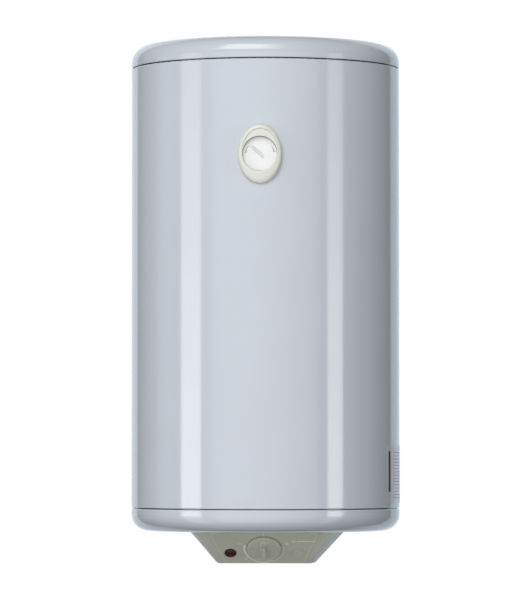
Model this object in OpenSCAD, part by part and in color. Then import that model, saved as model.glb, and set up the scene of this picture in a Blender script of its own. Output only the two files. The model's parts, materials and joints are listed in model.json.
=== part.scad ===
// Wall-hung electric storage water heater, 80-litre class.
//
// Modules draw their pieces in the casing frame: the vertical axis of the round
// casing is Z, the underside of the casing is z = 0, and the front is -Y.
// place() then moves a piece into the part's own frame, whose origin lies on the
// wall, in the middle of the four wall bolts, with +Y pointing into the wall.

/* [Casing] */
// Outer diameter of the round casing
body_d = 454; // [440:1:545]
// Height of the jacket, from seam to seam
jacket_h = 744; // [620:1:900]
// Height of the top cap and of the bottom cap
cap_h = 38; // [34:1:46]
// Outer radius of the edge of each cap
cap_fillet = 28; // [20:1:32]
// Thickness of the casing sheet
sheet = 0.8; // [0.6:0.1:1.2]
// Open groove between the jacket and a cap
seam_gap = 1.2; // [0.6:0.1:2]

/* [Tank] */
// Outer diameter of the steel tank
tank_d = 386; // [340:1:400]
// Wall thickness of the tank
tank_wall = 2; // [1.5:0.1:3]
// Radius of the dished middle of each tank head
head_crown_r = 330; // [300:5:400]
// Radius of the rounded edge of each tank head
head_knuckle_r = 40; // [30:1:50]
// Free height under the lower tank head
tank_clear_bottom = 56; // [52:1:70]
// Free height over the upper tank head
tank_clear_top = 44; // [30:1:60]

/* [Heating flange] */
// Diameter of the flange plate
flange_d = 125; // [122:1:128]
// Thickness of the flange plate
flange_t = 4; // [3:0.5:6]
// Thickness of the flange gasket
gasket_t = 3; // [2:0.5:4]
// Inner diameter of the tank neck
neck_id = 80; // [78:1:84]
// Height of the neck's lower face over the underside of the casing
neck_face_z = 36; // [34:1:40]
// Bolt circle of the flange
flange_pcd = 106; // [104:1:108]
// Thread diameter of the flange bolts
flange_bolt_d = 8; // [6:1:8]
// Diameter of the heating element's rod
element_d = 8.5; // [6.5:0.5:10]
// Height of a heating element over the flange plate
element_h = 300; // [200:10:400]
// Outer diameter of the sensor well
well_d = 14; // [12:0.5:16]
// Height of the sensor well over the flange plate
well_h = 330; // [250:10:420]
// Diameter of the magnesium anode
anode_d = 22; // [16:1:24]
// Length of the magnesium anode
anode_l = 320; // [200:10:420]

/* [Water connections] */
// Distance between the two water connections
pipe_spacing = 100; // [90:1:120]
// Distance of the water connections behind the casing's axis
pipe_y = 100; // [96:1:110]
// Outer diameter of the connection's thread
pipe_d = 20.96; // [20.96:0.01:26.44]
// Bore of the connection
pipe_bore = 15; // [12:0.5:17]
// Reach of the connection below the casing
pipe_drop = 30; // [24:1:40]

/* [Control housing] */
// Height of the housing below the casing
cover_h = 55; // [50:1:62]
// Width of the slanted face at its upper edge
face_top_w = 232; // [220:1:240]
// Width of the slanted face at its lower edge
face_low_w = 155; // [150:1:165]
// Width of the housing at its upper rear edge
rear_top_w = 270; // [260:1:280]
// Width of the housing at its lower rear edge
rear_low_w = 167; // [162:1:172]
// Place of the face's upper edge, in front of the casing's axis
face_y = 84; // [80:1:90]
// Place of the housing's upper rear edge, behind the casing's axis
rear_y = 74; // [70:1:78]
// Angle by which the face looks down
face_tilt = 44; // [40:1:48]
// Wall thickness of the housing
cover_wall = 2.5; // [2:0.1:3]
// Thickness of the fascia plate
fascia_t = 2; // [1.5:0.1:3]
// Diameter of the thermostat knob
knob_d = 57; // [50:1:60]
// Height of the knob's finger bar over its disc
grip_h = 12; // [8:0.5:14]
// Diameter of the pilot lamp's lens
lamp_d = 20; // [14:0.5:21]
// Diameter of the blanking plug
plug_d = 22; // [14:0.5:23]

/* [Thermometer] */
// Width of the oval bezel
bezel_w = 72.5; // [68:0.5:80]
// Height of the oval bezel
bezel_h = 98; // [86:1:110]
// Reach of the bezel in front of the casing
bezel_t = 9; // [7:0.5:12]
// Diameter of the dial
dial_d = 57; // [50:0.5:60]
// Distance of the dial's centre below the upper seam
dial_drop = 159; // [120:1:200]

/* [Wall fixing] */
// Gap between the casing and the wall
wall_gap = 8; // [6:1:30]
// Distance between the bolt holes of one bracket
hole_spacing_x = 240; // [200:5:260]
// Distance between the upper and the lower bracket
hole_spacing_z = 500; // [400:10:560]
// Diameter of the wall bolt holes
wall_hole_d = 11; // [9:0.5:13]
// Thickness of the bracket steel
bracket_t = 3; // [2.5:0.5:4]
// Height of a bracket
bracket_h = 45; // [36:1:60]

/* [Hidden] */
$fn = 96;

// Clearances
eps = 1; // how far a cutting tool runs past what it cuts
fit = 0.3; // gap between curved pieces that lie against each other
weld_gap = 0.1; // gap left where two pieces are welded
slide_gap = 0.05; // radial gap of a turning or sliding fit

// Casing
body_r = body_d / 2;
body_h = jacket_h + 2 * cap_h;
upper_seam_z = body_h - cap_h;
hem_r = 2; // radius of the rolled edges of the jacket and the caps
hem_in = 3.5; // how far the jacket's rolled edge reaches inwards
collar_t = 1;
collar_h = 12; // how far a cap's collar reaches into the jacket
collar_r = body_r - hem_in - fit;
foam_r = body_r - sheet - fit;
foam_end_r = collar_r - collar_t - fit;
lock_seam_w = 14;
lock_seam_t = 0.8;
label_w = 140;
label_h = 97;
label_t = 0.25;
label_z = cap_h + 9; // lower edge of the label
label_turn = 66; // angle from the front to the label's nearer edge

// Part frame
axis_to_wall = body_r + wall_gap;

// Tank
tank_r = tank_d / 2;
tank_low_z = tank_clear_bottom;
tank_high_z = body_h - tank_clear_top;
head_centre_z = sqrt(pow(head_crown_r - head_knuckle_r, 2) - pow(tank_r - head_knuckle_r, 2));
head_depth = head_crown_r - head_centre_z;
head_skirt = 12; // straight part of a head below its dish
low_weld_z = ceil(tank_low_z + head_depth + head_skirt);
high_weld_z = floor(tank_high_z - head_depth - head_skirt);
low_base_z = tank_low_z + head_depth;
high_base_z = tank_high_z - head_depth;

// Flange
flange_y = -6;
flange_r = flange_d / 2;
neck_wall = 4;
neck_ring_t = 6;
neck_r = neck_id / 2 + neck_wall;
neck_top_z = tank_low_z + 12;
gasket_z = neck_face_z - gasket_t;
plate_z = gasket_z - flange_t;
access_r = flange_r + 3.5;
bolt_count = 6;
bolt_hole_r = flange_bolt_d / 2 + 0.5;
bolt_head_h = 5.3;
bolt_head_d = 15; // across the corners
washer_d = 16;
washer_t = 1.6;
element_x = 24;
element_leg_gap = 28;
terminal_pin_d = 4;
terminal_pin_l = 14;
rod_out = 4; // how far the element's rod stands out below the plate
insulator_d = 10;
insulator_h = 5;
well_wall = 1;
well_y = 14;
anode_y = -20;
anode_stud_d = 8;
anode_bush_h = 4;
earth_x = -35;
earth_y = 8;
earth_stud_l = 12;
nut_h = 3.2;
eye_t = 0.8; // thickness of the earth wire's eye
eye_z = earth_stud_l - nut_h - 1; // top of the eye, over the stud's free end

// Water connections
head_sag = head_crown_r - sqrt(pow(head_crown_r, 2) - pow(norm([pipe_spacing / 2, pipe_y]), 2));
pipe_head_z = tank_low_z + head_sag; // where a connection passes through the lower head
pipe_top_z = ceil(pipe_head_z) + 14;
tube_d = pipe_d + 0.34; // the tube is a little thicker than its thread
thread_l = pipe_drop - 10;
pipe_hole_r = tube_d / 2 + 5;
ring_r = tube_d / 2 + 9;
ring_h = 7;
standpipe_d = pipe_bore - 0.6;
standpipe_wall = 1.2;
standpipe_top_z = tank_high_z - head_sag - tank_wall - 8;

// Control housing, as half widths and places of its four corner lines
face_low_y = -face_y + cover_h * tan(face_tilt);
rear_low_y = face_low_y + (rear_y + face_y) * (rear_low_w - face_low_w) / (rear_top_w - face_top_w);
face_l = cover_h / cos(face_tilt);
rear_tilt = atan((rear_y - rear_low_y) / cover_h);
wall_inset = cover_wall / cos(max(face_tilt, rear_tilt)); // wall thickness measured level
face_wall_t = fascia_t + cover_wall;
foil_t = 0.3;
foil_recess = 0.35;
foil_low = face_l - 1.2; // lower edge of the foil, along the face
foil_top = 3; // upper edge of the foil, along the face
foil_low_w = face_low_w - 21;
foil_top_w = face_top_w - 42;
foil_corner = 6;
knob_s = 41; // distance of the knob's centre below the face's upper edge
lamp_x = 57;
lamp_s = 51.5;
lamp_low = -face_wall_t - 19.5; // back of the lamp, behind the face
knob_r = knob_d / 2;
knob_disc_t = 4;
knob_gap = 0.8; // gap under the knob's disc
grip_w = 9.5;
grip_l = 30;
hub_r = 7;
hub_h = 4.5; // depth of the knob's hub below its disc
spindle_d = 6;
spindle_flat = 1.2; // depth of the flat on the spindle
stat_w = 38;
stat_l = 34;
stat_t = 24;
stat_back = face_wall_t + 2; // front of the thermostat, behind the face
stat_tabs = [-12, 0, 12];
stat_tab_y = 6.4;
stat_tab_h = 8;
post_x = 73;
post_y = -6;
post_r = 4.5;
cover_screw_d = 4;
screw_head_d = 7.4;
screw_head_h = 2.6;

// Control bracket and what hangs from it
rail_t = 1.5;
rail_w = 152;
rail_y0 = 2;
rail_y1 = 30;
rail_screw_x = 70;
rail_screw_y = 24;
block_w = 42;
block_l = 20;
block_h = 17;
block_x = -34;
block_poles = [-14, 0, 14];
block_bore_z = 9; // height of the wire bores over the block's free side
cutout_w = 32;
cutout_l = 22;
cutout_h = 24;
cutout_x = 34;
cutout_tab_x = 9;
cutout_tab_h = 6;
unit_y = 15; // line of the terminal block and the cut-out
button_d = 7;
button_out = 3; // how far the reset button stands out
button_travel = 1.5;
bulb_d = 5;
sensor_x = 2.9; // distance of each bulb beside the well's axis
bulb_l = 90;
capillary_d = 1.6;
wire_d = 2.4;

// Cable entry in the rear wall
cable_bore = 9;
grommet_d = 18;
grommet_flange_d = 23;
grommet_back = 3; // flange thickness each side of the wall
cable_s = 30; // distance below the rear wall's upper edge

// Thermometer
dial_z = upper_seam_z - dial_drop;
dial_r = dial_d / 2;
bezel_front = body_r + bezel_t;
lens_t = 1.6;
lens_front = bezel_front - 1.5;
dial_front = lens_front - lens_t - 4.5;
dial_t = 0.8;
needle_l = 21;
needle_tail = 9;
needle_turn = -47; // rest angle of the needle from straight up
can_r = dial_r + 1.2;
can_depth = 14;
can_wall = 0.8;
case_hole_r = can_r + 0.8; // opening in the jacket and the foam for the thermometer's case
stem_d = 8;
stem_tip = tank_r - 45; // distance of the stem's tip from the tank's axis
pocket_wall = 1.2;

// Wall brackets
leg_x = 60;
bracket_w = hole_spacing_x + 56;
slot_gap = 1;

module place() {
    translate([0, -axis_to_wall, -body_h / 2]) children();
}

// ---- general shapes ----

module ring(outer, inner, h) {
    difference() {
        cylinder(r = outer, h = h);
        translate([0, 0, -eps]) cylinder(r = inner, h = h + 2 * eps);
    }
}

module screw(d, head_d, head_h, l) {
    // Pan-head screw: the head stands below z = 0 and the shank above it.
    translate([0, 0, -head_h]) difference() {
        cylinder(d = head_d, h = head_h);
        for (a = [0, 90]) rotate(a)
            translate([-head_d * 0.3, -0.4, -eps]) cube([head_d * 0.6, 0.8, eps + head_h / 2]);
    }
    translate([0, 0, -0.2]) cylinder(d = d, h = l + 0.2);
}

// Outline from the axis to radius r, with its outer corners rounded
module rounded_block(r, z0, z1, low_r, high_r) {
    difference() {
        translate([0, z0]) square([r, z1 - z0]);
        if (low_r > 0) difference() {
            translate([r - low_r, z0 - eps]) square(low_r + eps);
            translate([r - low_r, z0 + low_r]) circle(low_r);
        }
        if (high_r > 0) difference() {
            translate([r - high_r, z1 - high_r]) square(high_r + eps);
            translate([r - high_r, z1 - high_r]) circle(high_r);
        }
    }
}

function unit(v) = v / norm(v);

// Catmull-Rom curve through the points, so that a wire bends smoothly
function curve_point(a, b, c, d, t) =
    0.5 * (2 * b + (c - a) * t + (2 * a - 5 * b + 4 * c - d) * t * t
        + (3 * b - a - 3 * c + d) * t * t * t);
function smooth(p, steps) = concat(
    [for (i = [0 : len(p) - 2], k = [0 : steps - 1])
        curve_point(p[max(i - 1, 0)], p[i], p[i + 1], p[min(i + 2, len(p) - 1)], k / steps)],
    [p[len(p) - 1]]);

// Tube of diameter d along a route
module tube_along(points, d, sides = 8) {
    n = len(points);
    side_ref = [0.83, 0.41, 0.37];
    function tangent(i) = unit(points[min(i + 1, n - 1)] - points[max(i - 1, 0)]);
    rings = [for (i = [0 : n - 1])
        let (t = tangent(i), u = unit(cross(t, side_ref)), v = cross(t, u))
            for (k = [0 : sides - 1])
                points[i] + d / 2 * (cos(360 * k / sides) * u + sin(360 * k / sides) * v)];
    walls = [for (i = [0 : n - 2], k = [0 : sides - 1])
        let (a = i * sides + k, b = i * sides + (k + 1) % sides)
            for (f = [[a, a + sides, b], [b, a + sides, b + sides]]) f];
    ends = [[for (k = [0 : sides - 1]) k],
        [for (k = [sides - 1 : -1 : 0]) (n - 1) * sides + k]];
    polyhedron(points = rings, faces = concat(walls, ends));
}

// ---- casing ----

// Cap outline with its open end at z = 0 and its closed face at z = cap_h
module cap_outline() {
    edge = seam_gap / 2;
    difference() {
        rounded_block(body_r, edge, cap_h, hem_r, cap_fillet);
        rounded_block(body_r - sheet, edge + sheet, cap_h - sheet, 0, cap_fillet - sheet);
        translate([0, edge - eps]) square([collar_r - collar_t, sheet + 2 * eps]);
    }
    translate([collar_r - collar_t, -collar_h]) square([collar_t, collar_h + edge + sheet]);
}

module top_cap() {
    color("lightsteelblue") translate([0, 0, upper_seam_z]) rotate_extrude() cap_outline();
}

module bottom_cap() {
    color("lightsteelblue") difference() {
        translate([0, 0, cap_h]) mirror([0, 0, 1]) rotate_extrude() cap_outline();
        translate([0, flange_y, -eps]) cylinder(r = access_r, h = sheet + 2 * eps);
        for (s = [-1, 1]) {
            translate([s * pipe_spacing / 2, pipe_y, -eps])
                cylinder(r = pipe_hole_r, h = sheet + 2 * eps);
            translate([s * post_x, post_y, -eps])
                cylinder(d = cover_screw_d + 0.4, h = sheet + 2 * eps);
            translate([s * rail_screw_x, rail_screw_y, -eps])
                cylinder(d = 3.4, h = sheet + 2 * eps);
        }
    }
}

module jacket() {
    z0 = cap_h + seam_gap / 2;
    z1 = upper_seam_z - seam_gap / 2;
    color("lightsteelblue") difference() {
        union() {
            rotate_extrude() difference() {
                rounded_block(body_r, z0, z1, hem_r, hem_r);
                translate([0, z0 + sheet]) square([body_r - sheet, z1 - z0 - 2 * sheet]);
                translate([0, z0 - eps]) square([body_r - hem_in, z1 - z0 + 2 * eps]);
            }
            lock_seam(z0 + hem_r, z1 - hem_r);
        }
        bracket_slots();
        thermometer_opening(case_hole_r);
    }
}

// Folded seam that closes the rolled jacket, at the back
module lock_seam(z0, z1) {
    turn = lock_seam_w / body_r * 180 / PI;
    rotate(90 - turn / 2) rotate_extrude(angle = turn)
        translate([body_r - sheet / 2, z0]) square([lock_seam_t + sheet / 2, z1 - z0]);
}

module rating_label() {
    turn = label_w / body_r * 180 / PI;
    color("gainsboro") rotate(label_turn - 90) rotate_extrude(angle = turn)
        translate([body_r + 0.02, label_z]) square([label_t, label_h]);
}

module foam_insulation() {
    shrink = body_r - foam_end_r;
    step_z = collar_h + seam_gap + fit;
    color("khaki") difference() {
        rotate_extrude() difference() {
            union() {
                rounded_block(foam_end_r, shrink, body_h - shrink,
                    cap_fillet - shrink, cap_fillet - shrink);
                translate([0, cap_h + step_z]) square([foam_r, jacket_h - 2 * step_z]);
            }
            vessel_outline(fit);
        }
        translate([0, flange_y, 0]) cylinder(r = access_r, h = low_base_z);
        for (s = [-1, 1]) translate([s * pipe_spacing / 2, pipe_y, 0])
            cylinder(r = tube_d / 2 + 2, h = low_base_z);
        for (s = [-1, 1]) translate([s * post_x, post_y, 0]) cylinder(r = 4, h = 12);
        for (s = [-1, 1]) translate([s * rail_screw_x, rail_screw_y, 0]) cylinder(r = 4, h = 12);
        bracket_slots();
        thermometer_opening(case_hole_r, body_r - can_depth - 2);
        thermometer_opening(stem_d / 2 + pocket_wall + 4, tank_r - eps);
    }
}

// Round opening through the front, from radius `from` outwards
module thermometer_opening(r, from = body_r - 20) {
    translate([0, 0, dial_z]) rotate([90, 0, 0]) translate([0, 0, from])
        cylinder(r = r, h = body_r + 20 - from);
}

// ---- tank ----

// Dished head outline over z = 0, for the tank's outer size plus `grow`
module head_outline(grow) {
    reach = 2; // the wedge's far corners, as a multiple of the crown radius
    edge_r = tank_r - head_knuckle_r;
    intersection() {
        translate([0, -head_centre_z]) circle(head_crown_r + grow);
        polygon([[0, 0], [edge_r, 0], [edge_r * reach, head_centre_z * (reach - 1)],
            [0, head_centre_z * (reach - 1)]]);
    }
    intersection() {
        translate([edge_r, 0]) circle(head_knuckle_r + grow);
        translate([edge_r, 0]) square(head_knuckle_r * 2);
    }
}

module vessel_outline(grow) {
    translate([0, high_base_z]) head_outline(grow);
    translate([0, low_base_z]) mirror([0, 1]) head_outline(grow);
    translate([0, low_base_z]) square([tank_r + grow, high_base_z - low_base_z]);
}

module vessel_shell(z0, z1) {
    rotate_extrude() intersection() {
        difference() {
            vessel_outline(0);
            vessel_outline(-tank_wall);
        }
        translate([0, z0]) square([tank_r + eps, z1 - z0]);
    }
}

module tank_barrel() {
    color("darkslategray") difference() {
        vessel_shell(low_weld_z, high_weld_z);
        thermometer_opening(stem_d / 2 + pocket_wall + fit + weld_gap, tank_r - 10);
    }
}

module tank_top_head() {
    color("darkslategray") vessel_shell(high_weld_z, tank_high_z + eps);
}

module tank_bottom_head() {
    color("darkslategray") difference() {
        vessel_shell(tank_low_z - eps, low_weld_z);
        translate([0, flange_y, 0]) cylinder(r = neck_r + weld_gap, h = low_base_z);
        for (s = [-1, 1]) translate([s * pipe_spacing / 2, pipe_y, 0])
            cylinder(r = tube_d / 2 + weld_gap, h = low_base_z);
    }
}

// ---- heating flange ----

module at_flange(z) {
    translate([0, flange_y, z]) children();
}

module bolt_circle() {
    for (k = [0 : bolt_count - 1]) rotate(360 / bolt_count * k)
        translate([flange_pcd / 2, 0, 0]) children();
}

module tank_neck() {
    color("slategray") at_flange(neck_face_z) difference() {
        union() {
            cylinder(r = flange_r, h = neck_ring_t);
            cylinder(r = neck_r, h = neck_top_z - neck_face_z);
        }
        translate([0, 0, -eps]) cylinder(d = neck_id, h = neck_top_z);
        bolt_circle() translate([0, 0, -eps])
            cylinder(r = flange_bolt_d / 2 + slide_gap, h = neck_ring_t + 2 * eps);
    }
}

module flange_gasket() {
    color("dimgray") at_flange(gasket_z) difference() {
        cylinder(r = flange_r, h = gasket_t);
        translate([0, 0, -eps]) cylinder(d = neck_id + 2, h = gasket_t + 2 * eps);
        bolt_circle() translate([0, 0, -eps]) cylinder(r = bolt_hole_r, h = gasket_t + 2 * eps);
    }
}

module element_legs() {
    for (x = [-element_x, element_x], y = [-1, 1])
        translate([x, y * element_leg_gap / 2, 0]) children();
}

module flange_plate() {
    hole_h = flange_t + 2 * eps;
    color("silver") at_flange(plate_z) difference() {
        cylinder(r = flange_r, h = flange_t);
        translate([0, 0, -eps]) {
            bolt_circle() cylinder(r = bolt_hole_r, h = hole_h);
            element_legs() cylinder(r = element_d / 2 + weld_gap, h = hole_h);
            translate([0, well_y, 0]) cylinder(r = well_d / 2 + weld_gap, h = hole_h);
            translate([0, anode_y, 0]) cylinder(r = anode_stud_d / 2 + weld_gap, h = hole_h);
        }
    }
}

module flange_bolts() {
    color("gainsboro") at_flange(plate_z - washer_t) bolt_circle() {
        cylinder(d = washer_d, h = washer_t);
        translate([0, 0, -bolt_head_h]) cylinder(d = bolt_head_d, h = bolt_head_h + 0.2, $fn = 6);
        cylinder(d = flange_bolt_d, h = washer_t + flange_t + gasket_t + neck_ring_t + 3);
    }
}

// Hairpin element: two legs through the flange plate, joined by a half turn
module heating_element(x) {
    bend_r = element_leg_gap / 2;
    leg_l = flange_t + element_h - bend_r - element_d / 2;
    color("peru") at_flange(plate_z) translate([x, 0, 0]) {
        for (s = [-1, 1]) translate([0, s * bend_r, -rod_out]) {
            cylinder(d = element_d, h = leg_l + rod_out);
            translate([0, 0, -terminal_pin_l]) cylinder(d = terminal_pin_d, h = terminal_pin_l + eps);
        }
        translate([0, 0, leg_l]) rotate([0, 0, 90]) rotate([90, 0, 0])
            rotate_extrude(angle = 180) translate([bend_r, 0]) circle(d = element_d);
    }
}

module element_insulators() {
    color("ivory") at_flange(plate_z - rod_out - insulator_h)
        element_legs() ring(insulator_d / 2, terminal_pin_d / 2 + slide_gap, insulator_h);
}

module sensor_well() {
    color("silver") at_flange(plate_z - 3) translate([0, well_y, 0]) difference() {
        cylinder(d = well_d, h = well_h + flange_t + 3);
        translate([0, 0, -eps])
            cylinder(d = well_d - 2 * well_wall, h = well_h + flange_t + 3 - well_wall + eps);
    }
}

module magnesium_anode() {
    color("darkgray") at_flange(plate_z) translate([0, anode_y, 0]) {
        translate([0, 0, flange_t + anode_bush_h]) cylinder(d = anode_d, h = anode_l);
        translate([0, 0, -12]) cylinder(d = anode_stud_d, h = 12 + flange_t + anode_bush_h + eps);
    }
}

module anode_nut() {
    // Insulating bush over the plate, with washer and nut under it
    color("gainsboro") at_flange(plate_z) translate([0, anode_y, 0]) {
        translate([0, 0, flange_t]) ring(anode_d / 2, anode_stud_d / 2 + slide_gap, anode_bush_h);
        translate([0, 0, -washer_t]) ring(washer_d / 2, anode_stud_d / 2 + slide_gap, washer_t);
        translate([0, 0, -washer_t - 6.5]) difference() {
            cylinder(d = bolt_head_d, h = 6.5, $fn = 6);
            translate([0, 0, -eps]) cylinder(r = anode_stud_d / 2 + slide_gap, h = 6.5 + 2 * eps);
        }
    }
}

// ---- water connections ----

module at_pipe(side, z) {
    translate([side * pipe_spacing / 2, pipe_y, z]) children();
}

module nipple(side) {
    color("silver") at_pipe(side, -pipe_drop) difference() {
        union() {
            cylinder(d = pipe_d, h = thread_l + eps);
            translate([0, 0, thread_l]) cylinder(d = tube_d, h = pipe_top_z + pipe_drop - thread_l);
        }
        translate([0, 0, -eps]) cylinder(d = pipe_bore, h = pipe_top_z + pipe_drop + 2 * eps);
    }
}

module pipe_ring(side, tint) {
    // Coloured collar that closes the casing's hole round a connection
    color(tint) at_pipe(side, 0) {
        translate([0, 0, -ring_h]) difference() {
            union() {
                cylinder(r1 = ring_r - 3, r2 = ring_r, h = 3);
                translate([0, 0, 3]) cylinder(r = ring_r, h = ring_h - 3);
            }
            translate([0, 0, -eps]) cylinder(r = tube_d / 2 + weld_gap, h = ring_h + 2 * eps);
        }
        ring(pipe_hole_r - fit, tube_d / 2 + weld_gap, sheet + 2);
    }
}

module cold_inlet_diffuser() {
    // Cap over the cold connection: it turns the jet sideways along the tank's bottom
    post_h = 26;
    plug_l = 12;
    r = standpipe_d / 2;
    color("ivory") at_pipe(1, pipe_top_z) difference() {
        union() {
            translate([0, 0, -plug_l]) cylinder(r = r, h = plug_l + eps);
            cylinder(r = tube_d / 2, h = post_h);
            translate([0, 0, post_h - 3]) cylinder(r = 20, h = 3);
        }
        translate([0, 0, -plug_l - eps]) cylinder(r = r - standpipe_wall, h = post_h + plug_l - 3);
        for (a = [0, 90]) rotate(a)
            translate([-tube_d, -3.5, 8]) cube([2 * tube_d, 7, 12]);
    }
}

module hot_outlet_standpipe() {
    color("ivory") at_pipe(-1, 0) {
        translate([0, 0, pipe_top_z - 30])
            ring(standpipe_d / 2, standpipe_d / 2 - standpipe_wall, standpipe_top_z - pipe_top_z + 30);
        translate([0, 0, pipe_top_z])
            ring(tube_d / 2, standpipe_d / 2 - standpipe_wall, 3);
    }
}

// ---- control housing ----

// Corner lines at depth d below the casing: [face half width, face y, rear half width, rear y]
function section(d) = let (k = d / cover_h) [
    (face_top_w + (face_low_w - face_top_w) * k) / 2,
    -face_y + (face_low_y + face_y) * k,
    (rear_top_w + (rear_low_w - rear_top_w) * k) / 2,
    rear_y + (rear_low_y - rear_y) * k];

function section_corners(d, inset) = let (s = section(d)) [
    [-s[0] + inset, s[1] + inset, -d], [s[0] - inset, s[1] + inset, -d],
    [s[2] - inset, s[3] - inset, -d], [-s[2] + inset, s[3] - inset, -d]];

// Housing body between two depths, drawn in by `inset` all round
module housing_block(top, low, inset) {
    polyhedron(
        points = concat(section_corners(low, inset), section_corners(top, inset)),
        faces = [[0, 1, 2, 3], [7, 6, 5, 4], [0, 4, 5, 1], [1, 5, 6, 2], [2, 6, 7, 3], [3, 7, 4, 0]]);
}

// Local frame on the slanted face: x across, y up the face, z out of it
module on_face(x, s) {
    translate([x, -face_y + s * sin(face_tilt), -s * cos(face_tilt)])
        rotate([90 + face_tilt, 0, 0]) children();
}

// Local frame on the slanted rear wall: z out of it
module on_rear(x, s) {
    translate([x, rear_y - s * sin(rear_tilt), -s * cos(rear_tilt)])
        rotate([-90 - rear_tilt, 0, 0]) children();
}

// Slab in front of the face, reaching `depth` behind it
module face_slab(depth) {
    on_face(0, 0) translate([-body_r, -2 * face_l, -depth]) cube([2 * body_r, 3 * face_l, depth + 20]);
}

peg_places = [[-88, 12], [88, 12], [-62, 66], [62, 66]];

module terminal_cover() {
    color("silver") difference() {
        union() {
            difference() {
                housing_block(0, cover_h, 0);
                difference() {
                    housing_block(-eps, cover_h - cover_wall, wall_inset);
                    face_slab(face_wall_t);
                }
                face_slab(fascia_t);
            }
            for (s = [-1, 1]) translate([s * post_x, post_y, -cover_h]) cylinder(r = post_r, h = cover_h);
        }
        for (s = [-1, 1]) translate([s * post_x, post_y, -cover_h - eps]) {
            cylinder(d = cover_screw_d + 0.4, h = cover_h + 2 * eps);
            cylinder(d = screw_head_d + 0.6, h = eps + 4);
        }
        on_face(0, knob_s) translate([0, 0, -face_wall_t - eps])
            cylinder(r = hub_r + 1.5, h = face_wall_t);
        for (s = [-1, 1]) {
            on_face(s * 14, knob_s) translate([0, 0, -face_wall_t - eps]) cylinder(d = 3.4, h = face_wall_t);
            on_face(s * lamp_x, lamp_s) translate([0, 0, -face_wall_t - eps])
                cylinder(r = lamp_seat_r(s), h = face_wall_t);
        }
        for (p = peg_places) on_face(p[0], p[1]) translate([0, 0, -face_wall_t - eps])
            cylinder(d = 4.2, h = face_wall_t);
        on_rear(0, cable_s) translate([0, 0, -15]) cylinder(d = grommet_d, h = 30);
    }
}

// Radius of the hole behind the lamp (left) and behind the plug (right)
function lamp_seat_r(s) = (s < 0 ? lamp_d : plug_d) / 2 - 1.5;

module foil_outline(grow) {
    top_x = foil_top_w / 2 + grow;
    low_x = foil_low_w / 2 + grow;
    lean = (top_x - low_x) / (foil_low - foil_top);
    corner_x = top_x - foil_corner * (1 + lean);
    top_y = -foil_top + grow;
    polygon([[-low_x, -foil_low - grow], [low_x, -foil_low - grow],
        [top_x - foil_corner * lean, top_y - foil_corner],
        for (a = [15 : 15 : 75]) [corner_x + foil_corner * cos(a), top_y - foil_corner * (1 - sin(a))],
        [corner_x, top_y], [-corner_x, top_y],
        for (a = [75 : -15 : 15]) [-corner_x - foil_corner * cos(a), top_y - foil_corner * (1 - sin(a))],
        [-top_x + foil_corner * lean, top_y - foil_corner]]);
}

module fascia_plate() {
    color([0.56, 0.57, 0.52]) difference() {
        union() {
            intersection() {
                housing_block(0, cover_h, 0);
                face_slab(fascia_t);
            }
            for (p = peg_places) on_face(p[0], p[1]) translate([0, 0, -face_wall_t - 2])
                cylinder(d = 4, h = face_wall_t + 1);
        }
        on_face(0, 0) translate([0, 0, -foil_recess]) linear_extrude(foil_recess + eps) foil_outline(0.25);
        on_face(0, knob_s) translate([0, 0, -fascia_t - eps])
            cylinder(r = hub_r + 1.5, h = fascia_t + 2 * eps);
        for (s = [-1, 1]) on_face(s * lamp_x, lamp_s) translate([0, 0, -fascia_t - eps])
            cylinder(r = lamp_seat_r(s), h = fascia_t + 2 * eps);
        for (s = [-1, 1]) on_face(s * 14, knob_s) translate([0, 0, -fascia_t - eps])
            cylinder(d = 3.4, h = fascia_t + 2 * eps);
    }
}

module fascia_foil() {
    color([0.55, 0.56, 0.51]) difference() {
        on_face(0, 0) translate([0, 0, -foil_recess]) linear_extrude(foil_t) foil_outline(0);
        on_face(0, knob_s) translate([0, 0, -eps]) cylinder(r = hub_r + 10.5, h = 2 * eps);
        on_face(-lamp_x, lamp_s) translate([0, 0, -eps]) cylinder(r = lamp_d / 2 + 0.2, h = 2 * eps);
        on_face(lamp_x, lamp_s) translate([0, 0, -eps]) cylinder(r = plug_d / 2 + 0.2, h = 2 * eps);
    }
}

module cover_screws() {
    for (s = [-1, 1]) color("silver") translate([s * post_x, post_y, -cover_h + 4])
        screw(cover_screw_d, screw_head_d, screw_head_h, cover_h + 4);
}

// ---- thermostat and knob ----

module thermostat_knob() {
    disc_low = knob_gap;
    disc_high = disc_low + knob_disc_t;
    color([0.55, 0.56, 0.5]) on_face(0, knob_s) difference() {
        union() {
            translate([0, 0, disc_low]) cylinder(r = knob_r, h = knob_disc_t - 1);
            translate([0, 0, disc_high - 1]) cylinder(r1 = knob_r, r2 = knob_r - 1, h = 1);
            translate([0, 0, disc_low - hub_h]) cylinder(r = hub_r, h = hub_h + eps);
            knob_grip(disc_high);
        }
        translate([0, 0, disc_low - hub_h - eps]) spindle_shape(slide_gap, hub_h + knob_disc_t + eps + 3);
    }
}

// Finger bar: straight flanks, drawn in towards its crest, with round ends
module knob_grip(base) {
    end_r = grip_w / 2;
    run = grip_l / 2 - end_r;
    hull() for (s = [-1, 1]) translate([0, s * run, base - 0.5]) {
        cylinder(r1 = end_r + 1.2, r2 = end_r - 0.8, h = grip_h - 1, $fn = 32);
        cylinder(r = end_r - 1.8, h = grip_h + 0.5, $fn = 32);
    }
}

// Round spindle with one flat
module spindle_shape(grow, h) {
    r = spindle_d / 2 + grow;
    difference() {
        cylinder(r = r, h = h);
        translate([-r - eps, r - spindle_flat - grow, -eps]) cube([2 * r + 2 * eps, r, h + 2 * eps]);
    }
}

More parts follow.
